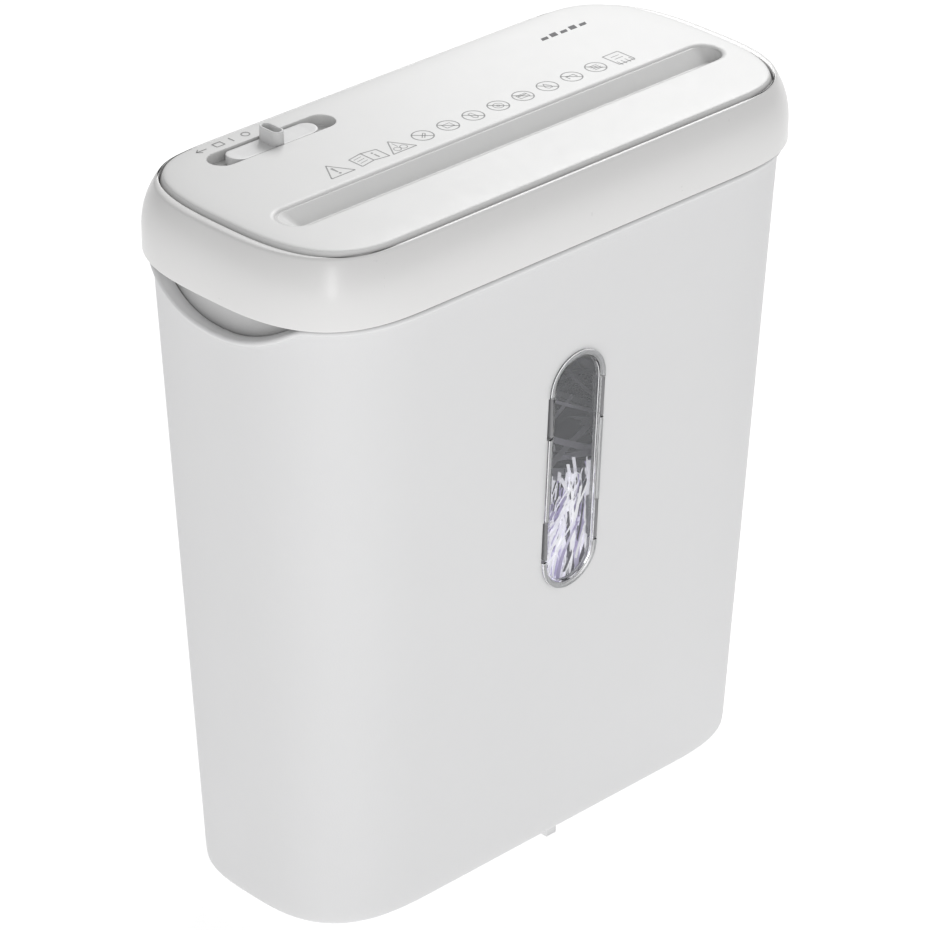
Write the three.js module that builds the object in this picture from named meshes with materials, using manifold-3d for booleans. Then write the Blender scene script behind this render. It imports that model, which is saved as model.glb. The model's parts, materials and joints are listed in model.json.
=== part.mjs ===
// A desk-side paper shredder: a cutting head that lifts off a tapered waste bin.
// Millimetres, +Z up. The origin is on the floor under the middle of the bin, with +X to the right,
// and the window in the bin's front faces -Y.
import * as THREE from "three";
import { mergeVertices } from "three/addons/utils/BufferGeometryUtils.js";
import Module from "manifold-3d";

const wasm = await Module();
wasm.setup();

// ---------------------------------------------------------------- driving dimensions

const GAP = 0.3; // left between pieces that touch
const SLIDE_GAP = 0.6; // left between pieces that move past each other

// Plan outlines have straight long sides, and ends that are half superellipses.
const OUTLINE_POWER = 2.95;
const OUTLINE_STEPS = 8; // per quarter

const BIN_HEIGHT = 275; // from the bin's lower edge to its rim
const RIM_HALF = { length: 135, depth: 61.6, end: 58.5 };
const BASE_HALF = { length: RIM_HALF.length - 11, depth: RIM_HALF.depth - 11.6, end: 57 };
const FOOT = { height: 4, radius: 8, x: BASE_HALF.length - 32, y: BASE_HALF.depth - 20 };
const RIM_Z = FOOT.height + BIN_HEIGHT;
const BASE_ROUND = 1.6; // the rounded lower edge
const BIN_WALL = 2.2;
const BIN_FLOOR = 2.6;
const BEAD = { height: 2.6, reach: 1.8 }; // the bead round the rim
const TAB = { width: 5.8, depth: 5, height: 3.7 }; // the small tab under the front edge

const SCOOP = { depth: 14, halfChord: 41.4, lip: 2 }; // the finger scoops in both ends of the rim

const WINDOW = { height: 105, width: 30, middle: 173 }; // its middle is above the bin's lower edge
const LENS = { frame: 3, overlap: 2, plug: 1.6, proud: 0.7 };
const CLIP = { height: 18, offset: 28.2, width: 2, reach: 2.2 };

const BAND_HEIGHT = 27.5; // the ring round the head
const BAND_HALF = { length: RIM_HALF.length + 3.5, depth: RIM_HALF.depth + 2.2, end: RIM_HALF.end };
const BAND_WALL = 2.2;
const BAND_LIP = 2; // the thickness of its inward lip
const SHELF = { below: 4.6, thickness: 1.8, reach: 4 }; // the shelf inside it that carries the panel

const PANEL_HALF = { length: BAND_HALF.length - 9.3, depth: BAND_HALF.depth - 7.1, end: 40 };
const PANEL = { wall: 2.4, rise: 2.1, edge: 1.8, gap: 0.4 };

const SLOT = { length: 2 * RIM_HALF.length - 48, width: 5, x: 6, y: -18.6 };
const FUNNEL = { length: SLOT.length + 13, width: 17.1, x: SLOT.x - 3.9, y: SLOT.y + 2, depth: 6.2, wall: 1.8 };

const SWITCH = { x: -69.2, y: 39.6, length: 62, width: 12.2, depth: 4.6, floor: 1.6 };
const SLIDER = { length: 44, width: 10.2, thickness: 3.7, travel: 7 };
const KNOB = { x: 5.6, y: 9.6, height: 5.8, recess: 1.6, wall: 1 };
const PEG = { length: 6, width: 2.6, reach: 3 };
const SWITCH_BODY = { length: 34, width: 13, height: 12 };

const SKIRT = { inset: 4.4, wall: 2, draft: 1, depth: 37.5, flange: 2 };
const CHUTE = { ends: 2, front: 14, rear: 12 }; // how far the opening reaches past the cutters' axes

const SPACING = 21.6; // between the rollers' axes
const ROLLER = {
  disc: SPACING / 2 + 1.7,
  core: SPACING / 2 - 3.3,
  journal: 4,
  spacing: SPACING,
  y: -14.2, // the nip's
  z: RIM_Z - 9,
  sides: 12,
};
const DISC = { count: 18, width: 5.6 };

const PLATE = { thickness: 1.8, standoff: 1.4, top: RIM_Z + 17 };
const BUSH = { radius: 6.5, flange: 8, flangeWidth: 0.8 };
const TIE_ROD = { radius: 2.5, low: 18, high: 20, out: 0.4, back: 13.4 };
const COMB = { thickness: 4, tooth: 5.4, bar: 2.4 };
const THROAT = { width: 13, gap: 6, above: 14.5 };

const GEAR = { width: 3.5, space: 0.7, addendum: 0.85, dedendum: 1.2 };
const SYNC = { module: ROLLER.spacing / 18, teeth: 18 };
const FINAL = { module: 1.05, wheel: 36, pinion: 12 };
const MIDDLE = { module: 0.75, wheel: 32, pinion: 12 };
const FIRST = { module: 0.6, wheel: 34, pinion: 12 };
const FIRST_GEAR_ANGLE = 100; // degrees, from the motor's axis to the first gear's
const AXLE = 1.5;

const MOTOR = { y: 29.6, z: RIM_Z - 16, radius: 17, length: 56, wall: 1.3, shaft: 1.2 };
const ARMATURE = { radius: 9, length: 30, commutator: 4 };
const FAN = { radius: 13, length: 7, blades: 7, hub: 4 };

const POSTS = [
  { x: 43 - RIM_HALF.length, y: 16.6 - RIM_HALF.depth },
  { x: RIM_HALF.length - 37, y: 16.6 - RIM_HALF.depth },
  { x: RIM_HALF.length - 28, y: 34 },
  { x: -20, y: RIM_HALF.depth - 16.1 },
];
const POST = { radius: 3.6, split: RIM_Z + 6 };
const SCREW = { radius: 1.5, head: 3.2, headHeight: 2, top: RIM_Z + 19 };

const BOARD = { x0: 4, x1: 96, y0: 18, y1: 46, lift: 6.5, thickness: 1.6 };
const INTERLOCK = { x: 60, y: -45.5, radius: 2.4, collar: 4, reach: 5, height: 8.5, travel: 1.5 };
const FLAG = { x: 6.5, width: 3, back: 10.7, z: RIM_Z + 16, hub: 2.4, pin: 1, reach: 12.5, drop: 5 };
const GLAND = { x: 92, z: RIM_Z + 13, radius: 6.4, flange: 1.6, bore: 3.6 };

// ---------------------------------------------------------------- places that follow from them

const BIN_BOTTOM = FOOT.height;
const BAND_BOTTOM = RIM_Z + 0.4;
const BAND_TOP = BAND_BOTTOM + BAND_HEIGHT;
const PANEL_TOP = BAND_TOP + PANEL.rise;
const SHELF_TOP = BAND_TOP - SHELF.below;
const FLANGE_Z = RIM_Z + GAP;
const HEAD_FLOOR = RIM_Z - SKIRT.depth;
const FLOOR_TOP = HEAD_FLOOR + SKIRT.wall;
const FUNNEL_FLOOR = PANEL_TOP - FUNNEL.depth - FUNNEL.wall;
const FRONT_ROLLER = { y: ROLLER.y - ROLLER.spacing / 2, z: ROLLER.z };
const REAR_ROLLER = { y: ROLLER.y + ROLLER.spacing / 2, z: ROLLER.z };
const CUT_LEFT = SLOT.x - SLOT.length / 2;
const CUT_RIGHT = SLOT.x + SLOT.length / 2;
const LEFT_PLATE = { inner: CUT_LEFT - PLATE.standoff, outer: CUT_LEFT - PLATE.standoff - PLATE.thickness };
const RIGHT_PLATE = { inner: CUT_RIGHT + PLATE.standoff, outer: CUT_RIGHT + PLATE.standoff + PLATE.thickness };

// The three gear planes lie outside the left plate, the first nearest to it: [left, right] of each.
const gearPlane = (number) => {
  const right = LEFT_PLATE.outer - GEAR.space - (number - 1) * (GEAR.width + GEAR.space);
  return [right - GEAR.width, right];
};

const MOTOR_AXIS = { y: MOTOR.y, z: MOTOR.z };
const FIRST_DISTANCE = (FIRST.module * (FIRST.wheel + FIRST.pinion)) / 2;
const MIDDLE_DISTANCE = (MIDDLE.module * (MIDDLE.wheel + MIDDLE.pinion)) / 2;
const FINAL_DISTANCE = (FINAL.module * (FINAL.wheel + FINAL.pinion)) / 2;
const GEAR_1_AXIS = {
  y: MOTOR.y + FIRST_DISTANCE * Math.cos(THREE.MathUtils.degToRad(FIRST_GEAR_ANGLE)),
  z: MOTOR.z + FIRST_DISTANCE * Math.sin(THREE.MathUtils.degToRad(FIRST_GEAR_ANGLE)),
};
const GEAR_2_AXIS = lowerCrossing(REAR_ROLLER, FINAL_DISTANCE, GEAR_1_AXIS, MIDDLE_DISTANCE);

// The lower of the two points at given distances from two axes.
function lowerCrossing(a, fromA, b, fromB) {
  const [dy, dz] = [b.y - a.y, b.z - a.z];
  const apart = Math.hypot(dy, dz);
  const along = (fromA ** 2 - fromB ** 2 + apart ** 2) / (2 * apart);
  const aside = Math.sqrt(fromA ** 2 - along ** 2);
  return {
    y: a.y + (dy * along + dz * aside) / apart,
    z: a.z + (dz * along - dy * aside) / apart,
  };
}

// ---------------------------------------------------------------- finishes

const finish = (color, roughness, metalness = 0, extra = {}) =>
  new THREE.MeshStandardMaterial({ color, roughness, metalness, ...extra });
const FINISHES = {
  grainWhite: () => finish(0xe6e6e6, 0.55),
  glossWhite: () => finish(0xf1f0ef, 0.3),
  panelWhite: () => finish(0xefefee, 0.42),
  greyPlastic: () => finish(0xc9c9c8, 0.5),
  clear: () => finish(0xf4f6f8, 0.05, 0, { transparent: true, opacity: 0.3 }),
  rubber: () => finish(0x3a3a3c, 0.85),
  steel: () => finish(0xa8abad, 0.35, 0.9),
  bronze: () => finish(0xb08a4c, 0.4, 0.8),
  nylon: () => finish(0xe9e2cf, 0.5),
  black: () => finish(0x1d1e20, 0.5),
  board: () => finish(0x2d6b3c, 0.55),
  magnet: () => finish(0x3b3d40, 0.7),
};

// ---------------------------------------------------------------- geometry helpers

const shredder = new THREE.Group();
shredder.name = "paper_shredder";

// A geometry as a manifold-3d solid.
function solid(geometry) {
  const bare = geometry.clone();
  bare.deleteAttribute("normal");
  bare.deleteAttribute("uv");
  const merged = mergeVertices(bare, 1e-4);
  const corners = merged.index.array;
  const kept = [];
  for (let i = 0; i < corners.length; i += 3) {
    const [a, b, c] = [corners[i], corners[i + 1], corners[i + 2]];
    if (a !== b && b !== c && c !== a) kept.push(a, b, c);
  }
  const made = new wasm.Mesh({
    numProp: 3,
    vertProperties: merged.attributes.position.array,
    triVerts: new Uint32Array(kept),
  });
  return new wasm.Manifold(made);
}

// A manifold-3d solid as a geometry with flat faces.
function geometryOf(manifold) {
  const mesh = manifold.getMesh();
  const points = new Float32Array(mesh.numVert * 3);
  for (let i = 0; i < mesh.numVert; i++) {
    points.set(mesh.vertProperties.subarray(i * mesh.numProp, i * mesh.numProp + 3), i * 3);
  }
  const indexed = new THREE.BufferGeometry();
  indexed.setAttribute("position", new THREE.BufferAttribute(points, 3));
  indexed.setIndex(new THREE.BufferAttribute(new Uint32Array(mesh.triVerts), 1));
  const flat = indexed.toNonIndexed();
  flat.computeVertexNormals();
  return flat;
}

// Adds one named piece, from a geometry or from a solid.
function addPiece(name, shape, material) {
  const geometry = shape.isBufferGeometry ? shape : geometryOf(shape);
  const mesh = new THREE.Mesh(geometry, material);
  mesh.name = name;
  shredder.add(mesh);
}

const join = (first, ...others) => others.reduce((whole, part) => whole.add(part), first);
const cut = (first, ...others) => others.reduce((whole, part) => whole.subtract(part), first);

// The plan outline's points, anticlockwise from above.
function outline(half, inset = 0) {
  const end = half.end - inset;
  const straight = half.length - half.end;
  const depth = half.depth - inset;
  const quarter = [];
  for (let i = 0; i <= OUTLINE_STEPS; i++) {
    const t = ((i / OUTLINE_STEPS) * Math.PI) / 2;
    const x = i === OUTLINE_STEPS ? 0 : end * Math.pow(Math.cos(t), 2 / OUTLINE_POWER);
    const y = i === 0 ? 0 : depth * Math.pow(Math.sin(t), 2 / OUTLINE_POWER);
    quarter.push([straight + x, y]);
  }
  const back = quarter.slice(1).reverse();
  return [
    ...quarter,
    ...back.map(([x, y]) => [-x, y]),
    ...quarter.map(([x, y]) => [-x, -y]),
    ...back.map(([x, y]) => [x, -y]),
  ];
}

// A closed solid through loops of equal length, with a flat cap on the first and on the last.
function loft(loops) {
  const count = loops[0].length;
  const index = [];
  for (let k = 0; k + 1 < loops.length; k++) {
    for (let i = 0; i < count; i++) {
      const a = k * count + i;
      const b = k * count + ((i + 1) % count);
      index.push(a, b, b + count, a, b + count, a + count);
    }
  }
  const last = (loops.length - 1) * count;
  for (let i = 1; i + 1 < count; i++) {
    index.push(0, i + 1, i);
    index.push(last, last + i, last + i + 1);
  }
  const geometry = new THREE.BufferGeometry();
  geometry.setAttribute("position", new THREE.Float32BufferAttribute(loops.flat(2), 3));
  geometry.setIndex(index);
  geometry.computeVertexNormals();
  return geometry;
}

const loopAt = (half, z, inset = 0) => outline(half, inset).map(([x, y]) => [x, y, z]);
const slab = (half, inset, low, high) => solid(loft([loopAt(half, low, inset), loopAt(half, high, inset)]));

function block(x0, x1, y0, y1, z0, z1) {
  const geometry = new THREE.BoxGeometry(x1 - x0, y1 - y0, z1 - z0);
  return solid(geometry.translate((x0 + x1) / 2, (y0 + y1) / 2, (z0 + z1) / 2));
}

// A round bar along X at (y, z), along Y at (x, z), or along Z at (x, y).
function rod(axis, radius, from, to, u, v, sides = 16) {
  const geometry = new THREE.CylinderGeometry(radius, radius, to - from, sides);
  const middle = (from + to) / 2;
  if (axis === "x") geometry.rotateZ(-Math.PI / 2).translate(middle, u, v);
  else if (axis === "y") geometry.translate(u, middle, v);
  else geometry.rotateX(Math.PI / 2).translate(u, v, middle);
  return solid(geometry);
}

// A hole that leaves a whole clearance round a bar, measured to the hole's flat sides.
function bore(axis, radius, gap, from, to, u, v, sides = 20) {
  return rod(axis, (radius + gap) / Math.cos(Math.PI / sides), from, to, u, v, sides);
}

const polygon = (points) => new THREE.Shape(points.map(([u, v]) => new THREE.Vector2(u, v)));
const extrusion = (points, depth) => new THREE.ExtrudeGeometry(polygon(points), { depth, bevelEnabled: false });

// Points drawn in Y and Z, extruded along X.
function extrudeX(points, from, to) {
  const turn = new THREE.Matrix4().set(0, 0, 1, from, 1, 0, 0, 0, 0, 1, 0, 0, 0, 0, 0, 1);
  return extrusion(points, to - from).applyMatrix4(turn);
}

// Points drawn in X and Z, extruded along Y.
const extrudeY = (points, from, to) => extrusion(points, to - from).rotateX(Math.PI / 2).translate(0, to, 0);

// Points drawn in X and Y, extruded along Z.
const extrudeZ = (points, from, to) => extrusion(points, to - from).translate(0, 0, from);

// Straight sides with round ends, lying along the first axis.
function obround(length, width, u = 0, v = 0, steps = 8) {
  const radius = width / 2;
  const points = [];
  for (const side of [1, -1]) {
    for (let i = 0; i <= steps; i++) {
      const angle = (i / steps) * Math.PI - Math.PI / 2 + (side < 0 ? Math.PI : 0);
      points.push([u + side * (length / 2 - radius) + radius * Math.cos(angle), v + radius * Math.sin(angle)]);
    }
  }
  return points;
}

const obroundLoop = (length, width, x, y, z) => obround(length, width, x, y).map(([u, v]) => [u, v, z]);
const obroundSlab = (length, width, x, y, low, high) =>
  solid(loft([obroundLoop(length, width, x, y, low), obroundLoop(length, width, x, y, high)]));

// A solid of revolution about a line along X. Profile points are [distance along X, radius].
function turned(profile, axis, sides) {
  const points = profile.map(([along, radius]) => new THREE.Vector2(radius, along));
  return new THREE.LatheGeometry(points, sides).rotateZ(-Math.PI / 2).translate(0, axis.y, axis.z);
}

// ---------------------------------------------------------------- the bin

// The bin's outer half sizes at a height above its lower edge.
function binHalf(above) {
  const mix = (key) => BASE_HALF[key] + ((RIM_HALF[key] - BASE_HALF[key]) * above) / BIN_HEIGHT;
  return { length: mix("length"), depth: mix("depth"), end: mix("end") };
}

const binLoop = (above, inset) => loopAt(binHalf(above), BIN_BOTTOM + above, inset);
const frontFaceY = (z) => -binHalf(z - BIN_BOTTOM).depth;

function binShell() {
  const step = BIN_HEIGHT - BEAD.height;
  return solid(
    loft([
      binLoop(0, BASE_ROUND),
      binLoop(BASE_ROUND, 0),
      binLoop(step, 0),
      binLoop(step + 0.01, -BEAD.reach),
      binLoop(BIN_HEIGHT, -BEAD.reach),
      binLoop(BIN_HEIGHT - 0.01, BIN_WALL),
      binLoop(BIN_FLOOR + 2, BIN_WALL),
      binLoop(BIN_FLOOR, BIN_WALL + 2),
    ]),
  );
}

// A cylinder along X whose lowest arc is the lip of a finger scoop.
function scoopCylinder(side, extraRadius) {
  const radius = (SCOOP.halfChord ** 2 + SCOOP.depth ** 2) / (2 * SCOOP.depth);
  const [near, far] = [RIM_HALF.length - 25, RIM_HALF.length + 5];
  const [from, to] = side < 0 ? [-far, -near] : [near, far];
  return rod("x", radius + extraRadius, from, to, 0, RIM_Z - SCOOP.depth + radius, 72);
}

// The shelf under a scoop, curving with its lip, from the wall inwards almost to the head's skirt.
function scoopLedge(side) {
  const low = BIN_HEIGHT - SCOOP.depth - 2 * SCOOP.lip;
  const inside = cut(
    solid(loft([binLoop(low, 1), binLoop(BIN_HEIGHT - 0.5, 1)])),
    slab(RIM_HALF, SKIRT.inset - SLIDE_GAP, BIN_BOTTOM + low - 1, RIM_Z),
  );
  const curl = cut(scoopCylinder(side, SCOOP.lip), scoopCylinder(side, 0));
  return inside.intersect(curl);
}

const windowPoints = (inset) => obround(WINDOW.height - 2 * inset, WINDOW.width - 2 * inset).map(([u, v]) => [-v, u]);
const WINDOW_Z = BIN_BOTTOM + WINDOW.middle;

// Where one of the lens's clips passes through the wall, with a gap left round it.
function clipBlock(side, way, depth, gap) {
  const z = WINDOW_Z + way * CLIP.offset;
  const inner = WINDOW.width / 2 - LENS.frame - 1;
  const x = [side * inner, side * (inner + 1 + CLIP.width + gap)].sort((a, b) => a - b);
  const [front, rear] = depth.map((value) => frontFaceY(z) + value);
  return block(x[0], x[1], front, rear, z - CLIP.height / 2 - gap, z + CLIP.height / 2 + gap);
}

const clips = (depth, gap) => [-1, 1].flatMap((side) => [-1, 1].map((way) => clipBlock(side, way, depth, gap)));

// The post inside the front wall that holds the head's interlock plunger up.
function interlockPost() {
  const top = HEAD_FLOOR - INTERLOCK.reach - GAP;
  const rear = INTERLOCK.y + INTERLOCK.collar;
  const inWall = BIN_WALL / 2;
  const points = [
    [frontFaceY(top) + inWall, top],
    [frontFaceY(top - 44) + inWall, top - 44],
    [rear, top - 14],
    [rear, top],
  ];
  return solid(extrudeX(points, INTERLOCK.x - 3.5, INTERLOCK.x + 3.5));
}

function buildBin() {
  const opening = windowPoints(LENS.overlap).map(([x, z]) => [x, z + WINDOW_Z]);
  let body = cut(binShell(), solid(extrudeY(opening, -RIM_HALF.depth - 2, -BASE_HALF.depth + 4)));
  for (const side of [-1, 1]) body = join(cut(body, scoopCylinder(side, 0)), scoopLedge(side));
  const front = -BASE_HALF.depth + BASE_ROUND;
  const half = TAB.width / 2;
  const tab = block(-half, half, front, front + TAB.depth, BIN_BOTTOM - TAB.height, BIN_BOTTOM + 1);
  body = cut(join(body, tab, interlockPost()), ...clips([-4, 8], GAP));
  addPiece("bin_body", body, FINISHES.grainWhite());
  addPiece("window_lens", windowLens(), FINISHES.clear());
  let number = 1;
  for (const x of [-FOOT.x, FOOT.x]) {
    for (const y of [-FOOT.y, FOOT.y]) {
      addPiece(`foot_pad_${number++}`, rod("z", FOOT.radius, 0, BIN_BOTTOM - GAP, x, y, 20), FINISHES.rubber());
    }
  }
}

// The lens: a raised frame, a pane that plugs the opening in the wall, and four clips.
function windowLens() {
  const slope = (RIM_HALF.depth - BASE_HALF.depth) / BIN_HEIGHT;
  const lean = new THREE.Matrix4().makeShear(0, 0, 0, 0, 0, -slope);
  const plate = (inset, from, to) =>
    solid(extrudeY(windowPoints(inset), from, to).applyMatrix4(lean).translate(0, frontFaceY(WINDOW_Z), WINDOW_Z));
  const frame = plate(0, -LENS.proud - GAP, -GAP);
  const dish = plate(LENS.frame, -LENS.proud - GAP - 1, -GAP + 0.1);
  const pane = plate(LENS.overlap + GAP, -GAP - 0.2, LENS.plug);
  return join(cut(frame, dish), pane, ...clips([0, BIN_WALL + CLIP.reach], 0));
}

// ---------------------------------------------------------------- the head's casings

function buildBand() {
  const rise = (share) => BAND_BOTTOM + BAND_HEIGHT * share;
  const profile = [
    [0.32, 0],
    [0.6, 0.8],
    [0.8, 2.1],
    [0.93, 3.5],
  ];
  const outer = solid(
    loft([
      loopAt(BAND_HALF, BAND_BOTTOM, 0.5),
      loopAt(BAND_HALF, BAND_BOTTOM + 1, 0),
      ...profile.map(([share, inset]) => loopAt(BAND_HALF, rise(share), inset)),
      loopAt(BAND_HALF, BAND_TOP, 5),
    ]),
  );
  const hollow = solid(
    loft([
      loopAt(BAND_HALF, BAND_BOTTOM - 1, BAND_WALL),
      ...profile.slice(0, 3).map(([share, inset]) => loopAt(BAND_HALF, rise(share), inset + BAND_WALL)),
      loopAt(BAND_HALF, BAND_TOP - BAND_LIP, 3.5 + BAND_WALL),
    ]),
  );
  const mouth = slab(PANEL_HALF, -PANEL.gap, BAND_TOP - BAND_LIP - 2, BAND_TOP + 1);
  const shelfLow = SHELF_TOP - SHELF.thickness;
  const shelf = cut(
    slab(BAND_HALF, 3.5, shelfLow, SHELF_TOP),
    slab(PANEL_HALF, SHELF.reach, shelfLow - 1, SHELF_TOP + 1),
  );
  const rear = BAND_HALF.depth;
  const hole = bore("y", GLAND.radius, GAP, rear - 8, rear + 3, GLAND.x, GLAND.z);
  addPiece("rim_band", cut(join(cut(outer, hollow, mouth), shelf), hole), FINISHES.glossWhite());
}

function buildGland() {
  const outer = BAND_HALF.depth - 0.2;
  const body = join(
    rod("y", GLAND.radius, outer - 7, outer, GLAND.x, GLAND.z, 20),
    rod("y", GLAND.radius + GLAND.flange, outer - 7, outer - 5, GLAND.x, GLAND.z, 20),
  );
  const hole = rod("y", GLAND.bore, outer - 8, outer + 1, GLAND.x, GLAND.z, 16);
  addPiece("cord_gland", cut(body, hole), FINISHES.black());
}

function buildPanel() {
  const plateZ = PANEL_TOP - PANEL.wall;
  const outer = solid(
    loft([
      loopAt(PANEL_HALF, SHELF_TOP + GAP, 0),
      loopAt(PANEL_HALF, BAND_TOP, 0),
      loopAt(PANEL_HALF, PANEL_TOP - 0.5, PANEL.edge * 0.8),
      loopAt(PANEL_HALF, PANEL_TOP, PANEL.edge + 0.3),
    ]),
  );
  const hollow = slab(PANEL_HALF, PANEL.wall, SHELF_TOP - 1, plateZ);
  const wall = FUNNEL.wall;
  const trough = obroundSlab(FUNNEL.length + 2 * wall, FUNNEL.width + 2 * wall, FUNNEL.x, FUNNEL.y, FUNNEL_FLOOR, plateZ + 1);
  const funnel = solid(
    loft([
      obroundLoop(SLOT.length + 3, SLOT.width + 3, SLOT.x, SLOT.y, FUNNEL_FLOOR + wall),
      obroundLoop(FUNNEL.length - 6, FUNNEL.width - 4, FUNNEL.x, FUNNEL.y - 0.6, PANEL_TOP - FUNNEL.depth * 0.55),
      obroundLoop(FUNNEL.length - 1, FUNNEL.width - 1, FUNNEL.x, FUNNEL.y, PANEL_TOP - 0.8),
      obroundLoop(FUNNEL.length + 1, FUNNEL.width + 1, FUNNEL.x, FUNNEL.y, PANEL_TOP + 0.2),
    ]),
  );
  const slotHalf = { x: SLOT.length / 2, y: SLOT.width / 2 };
  const slot = block(
    SLOT.x - slotHalf.x,
    SLOT.x + slotHalf.x,
    SLOT.y - slotHalf.y,
    SLOT.y + slotHalf.y,
    FUNNEL_FLOOR - 1,
    FUNNEL_FLOOR + wall + 1,
  );
  const recessZ = PANEL_TOP - SWITCH.depth;
  const tray = obroundSlab(SWITCH.length + 3.2, SWITCH.width + 3.2, SWITCH.x, SWITCH.y, recessZ - SWITCH.floor, plateZ + 1);
  const recess = obroundSlab(SWITCH.length, SWITCH.width, SWITCH.x, SWITCH.y, recessZ, PANEL_TOP + 1);
  const pegLength = PEG.length + 2 * (SLIDER.travel + SLIDE_GAP);
  const pegWidth = PEG.width + 2 * SLIDE_GAP;
  const pegSlot = obroundSlab(pegLength, pegWidth, SWITCH.x, SWITCH.y, recessZ - SWITCH.floor - 1, recessZ + 1);
  let panel = join(cut(outer, hollow), trough, tray);
  for (const { x, y } of POSTS) panel = join(panel, rod("z", POST.radius, POST.split + GAP, plateZ + 1, x, y));
  const holes = POSTS.map(({ x, y }) => bore("z", SCREW.radius, GAP, POST.split, SCREW.top + 1, x, y, 10));
  addPiece("top_panel", cut(panel, funnel, slot, recess, pegSlot, ...holes), FINISHES.panelWhite());
}

function buildLowerHousing() {
  const { inset, wall, draft, flange } = SKIRT;
  const flangeInset = BAND_WALL + GAP;
  const shell = solid(
    loft([
      loopAt(RIM_HALF, HEAD_FLOOR, inset + draft),
      loopAt(RIM_HALF, FLANGE_Z, inset),
      loopAt(BAND_HALF, FLANGE_Z + 0.01, flangeInset),
      loopAt(BAND_HALF, FLANGE_Z + flange, flangeInset),
      loopAt(RIM_HALF, FLANGE_Z + flange - 0.01, inset + wall),
      loopAt(RIM_HALF, FLOOR_TOP, inset + wall + draft),
    ]),
  );
  const chute = block(
    CUT_LEFT + CHUTE.ends,
    CUT_RIGHT - CHUTE.ends,
    FRONT_ROLLER.y - CHUTE.front,
    REAR_ROLLER.y + CHUTE.rear,
    HEAD_FLOOR - 1,
    FLOOR_TOP + 1,
  );
  const { x, y, radius, collar } = INTERLOCK;
  let housing = cut(shell, chute, bore("z", radius, SLIDE_GAP, HEAD_FLOOR - 1, FLOOR_TOP + 1, x, y));
  for (const post of POSTS) housing = join(housing, rod("z", POST.radius, FLOOR_TOP - 1, POST.split, post.x, post.y));
  for (const px of [BOARD.x0 + 5, BOARD.x1 - 5]) {
    for (const py of [BOARD.y0 + 5, BOARD.y1 - 5]) {
      housing = join(housing, rod("z", 2.6, FLOOR_TOP - 1, FLOOR_TOP + BOARD.lift - GAP, px, py, 12));
    }
  }
  const holes = POSTS.map((post) => bore("z", SCREW.radius, GAP, HEAD_FLOOR - 1, POST.split + 1, post.x, post.y, 10));
  addPiece("lower_housing", cut(housing, ...holes), FINISHES.greyPlastic());
  POSTS.forEach((post, i) => {
    const top = HEAD_FLOOR - GAP;
    const head = rod("z", SCREW.head, top - SCREW.headHeight, top, post.x, post.y, 12);
    const shank = rod("z", SCREW.radius, top - 1, SCREW.top, post.x, post.y, 8);
    addPiece(`housing_screw_${i + 1}`, join(head, shank), FINISHES.steel());
  });
  const foot = HEAD_FLOOR - INTERLOCK.reach;
  const plunger = join(
    rod("z", radius, foot, FLOOR_TOP + INTERLOCK.height, x, y, 14),
    rod("z", collar, FLOOR_TOP + SLIDE_GAP, FLOOR_TOP + SLIDE_GAP + 1.4, x, y, 14),
  );
  addPiece("interlock_plunger", plunger, FINISHES.black());
  const switchZ = FLOOR_TOP + INTERLOCK.height + INTERLOCK.travel + SLIDE_GAP;
  addPiece("interlock_switch", block(x - 10, x + 10, y - 3.1, y + 3.1, switchZ, switchZ + 10), FINISHES.black());
}

// ---------------------------------------------------------------- the mode switch

function buildModeSwitch() {
  const base = PANEL_TOP - SWITCH.depth + GAP;
  const top = base + SLIDER.thickness;
  const knobHalf = { x: KNOB.x / 2, y: KNOB.y / 2 + 1 };
  const inner = { x: knobHalf.x - KNOB.wall, y: knobHalf.y - KNOB.wall };
  const under = PANEL_TOP - SWITCH.depth - SWITCH.floor;
  const knob = obroundUpright(2 * knobHalf.y, 2 * knobHalf.x, top - 1, top + KNOB.height);
  const recess = obroundUpright(2 * inner.y, 2 * inner.x, top + KNOB.height - KNOB.recess, top + KNOB.height + 1);
  const slider = join(
    obroundSlab(SLIDER.length, SLIDER.width, SWITCH.x, SWITCH.y, base, top),
    knob,
    obroundSlab(PEG.length, PEG.width, SWITCH.x, SWITCH.y, under - PEG.reach, base + 1),
  );
  addPiece("mode_slider", cut(slider, recess), FINISHES.glossWhite());
  const bodyTop = under - GAP;
  const [halfLength, halfWidth] = [SWITCH_BODY.length / 2, SWITCH_BODY.width / 2];
  const body = block(
    SWITCH.x - halfLength,
    SWITCH.x + halfLength,
    SWITCH.y - halfWidth,
    SWITCH.y + halfWidth,
    bodyTop - SWITCH_BODY.height,
    bodyTop,
  );
  const length = PEG.length + 2 * (SLIDER.travel + SLIDE_GAP);
  const groove = obroundSlab(length, PEG.width + 2 * SLIDE_GAP, SWITCH.x, SWITCH.y, bodyTop - PEG.reach - 1, bodyTop + 1);
  addPiece("mode_switch_body", cut(body, groove), FINISHES.black());
}

// A low upright shape with round ends, lying along Y over the switch.
function obroundUpright(length, width, low, high) {
  const loop = (z) => obround(length, width).map(([u, v]) => [SWITCH.x - v, SWITCH.y + u, z]);
  return solid(loft([loop(low), loop(high)]));
}

// ---------------------------------------------------------------- the cutting block

const discPitch = SLOT.length / DISC.count;
const discStart = (row, i) => CUT_LEFT + i * discPitch + (row * discPitch) / 2 + (discPitch / 2 - DISC.width) / 2;

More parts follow.
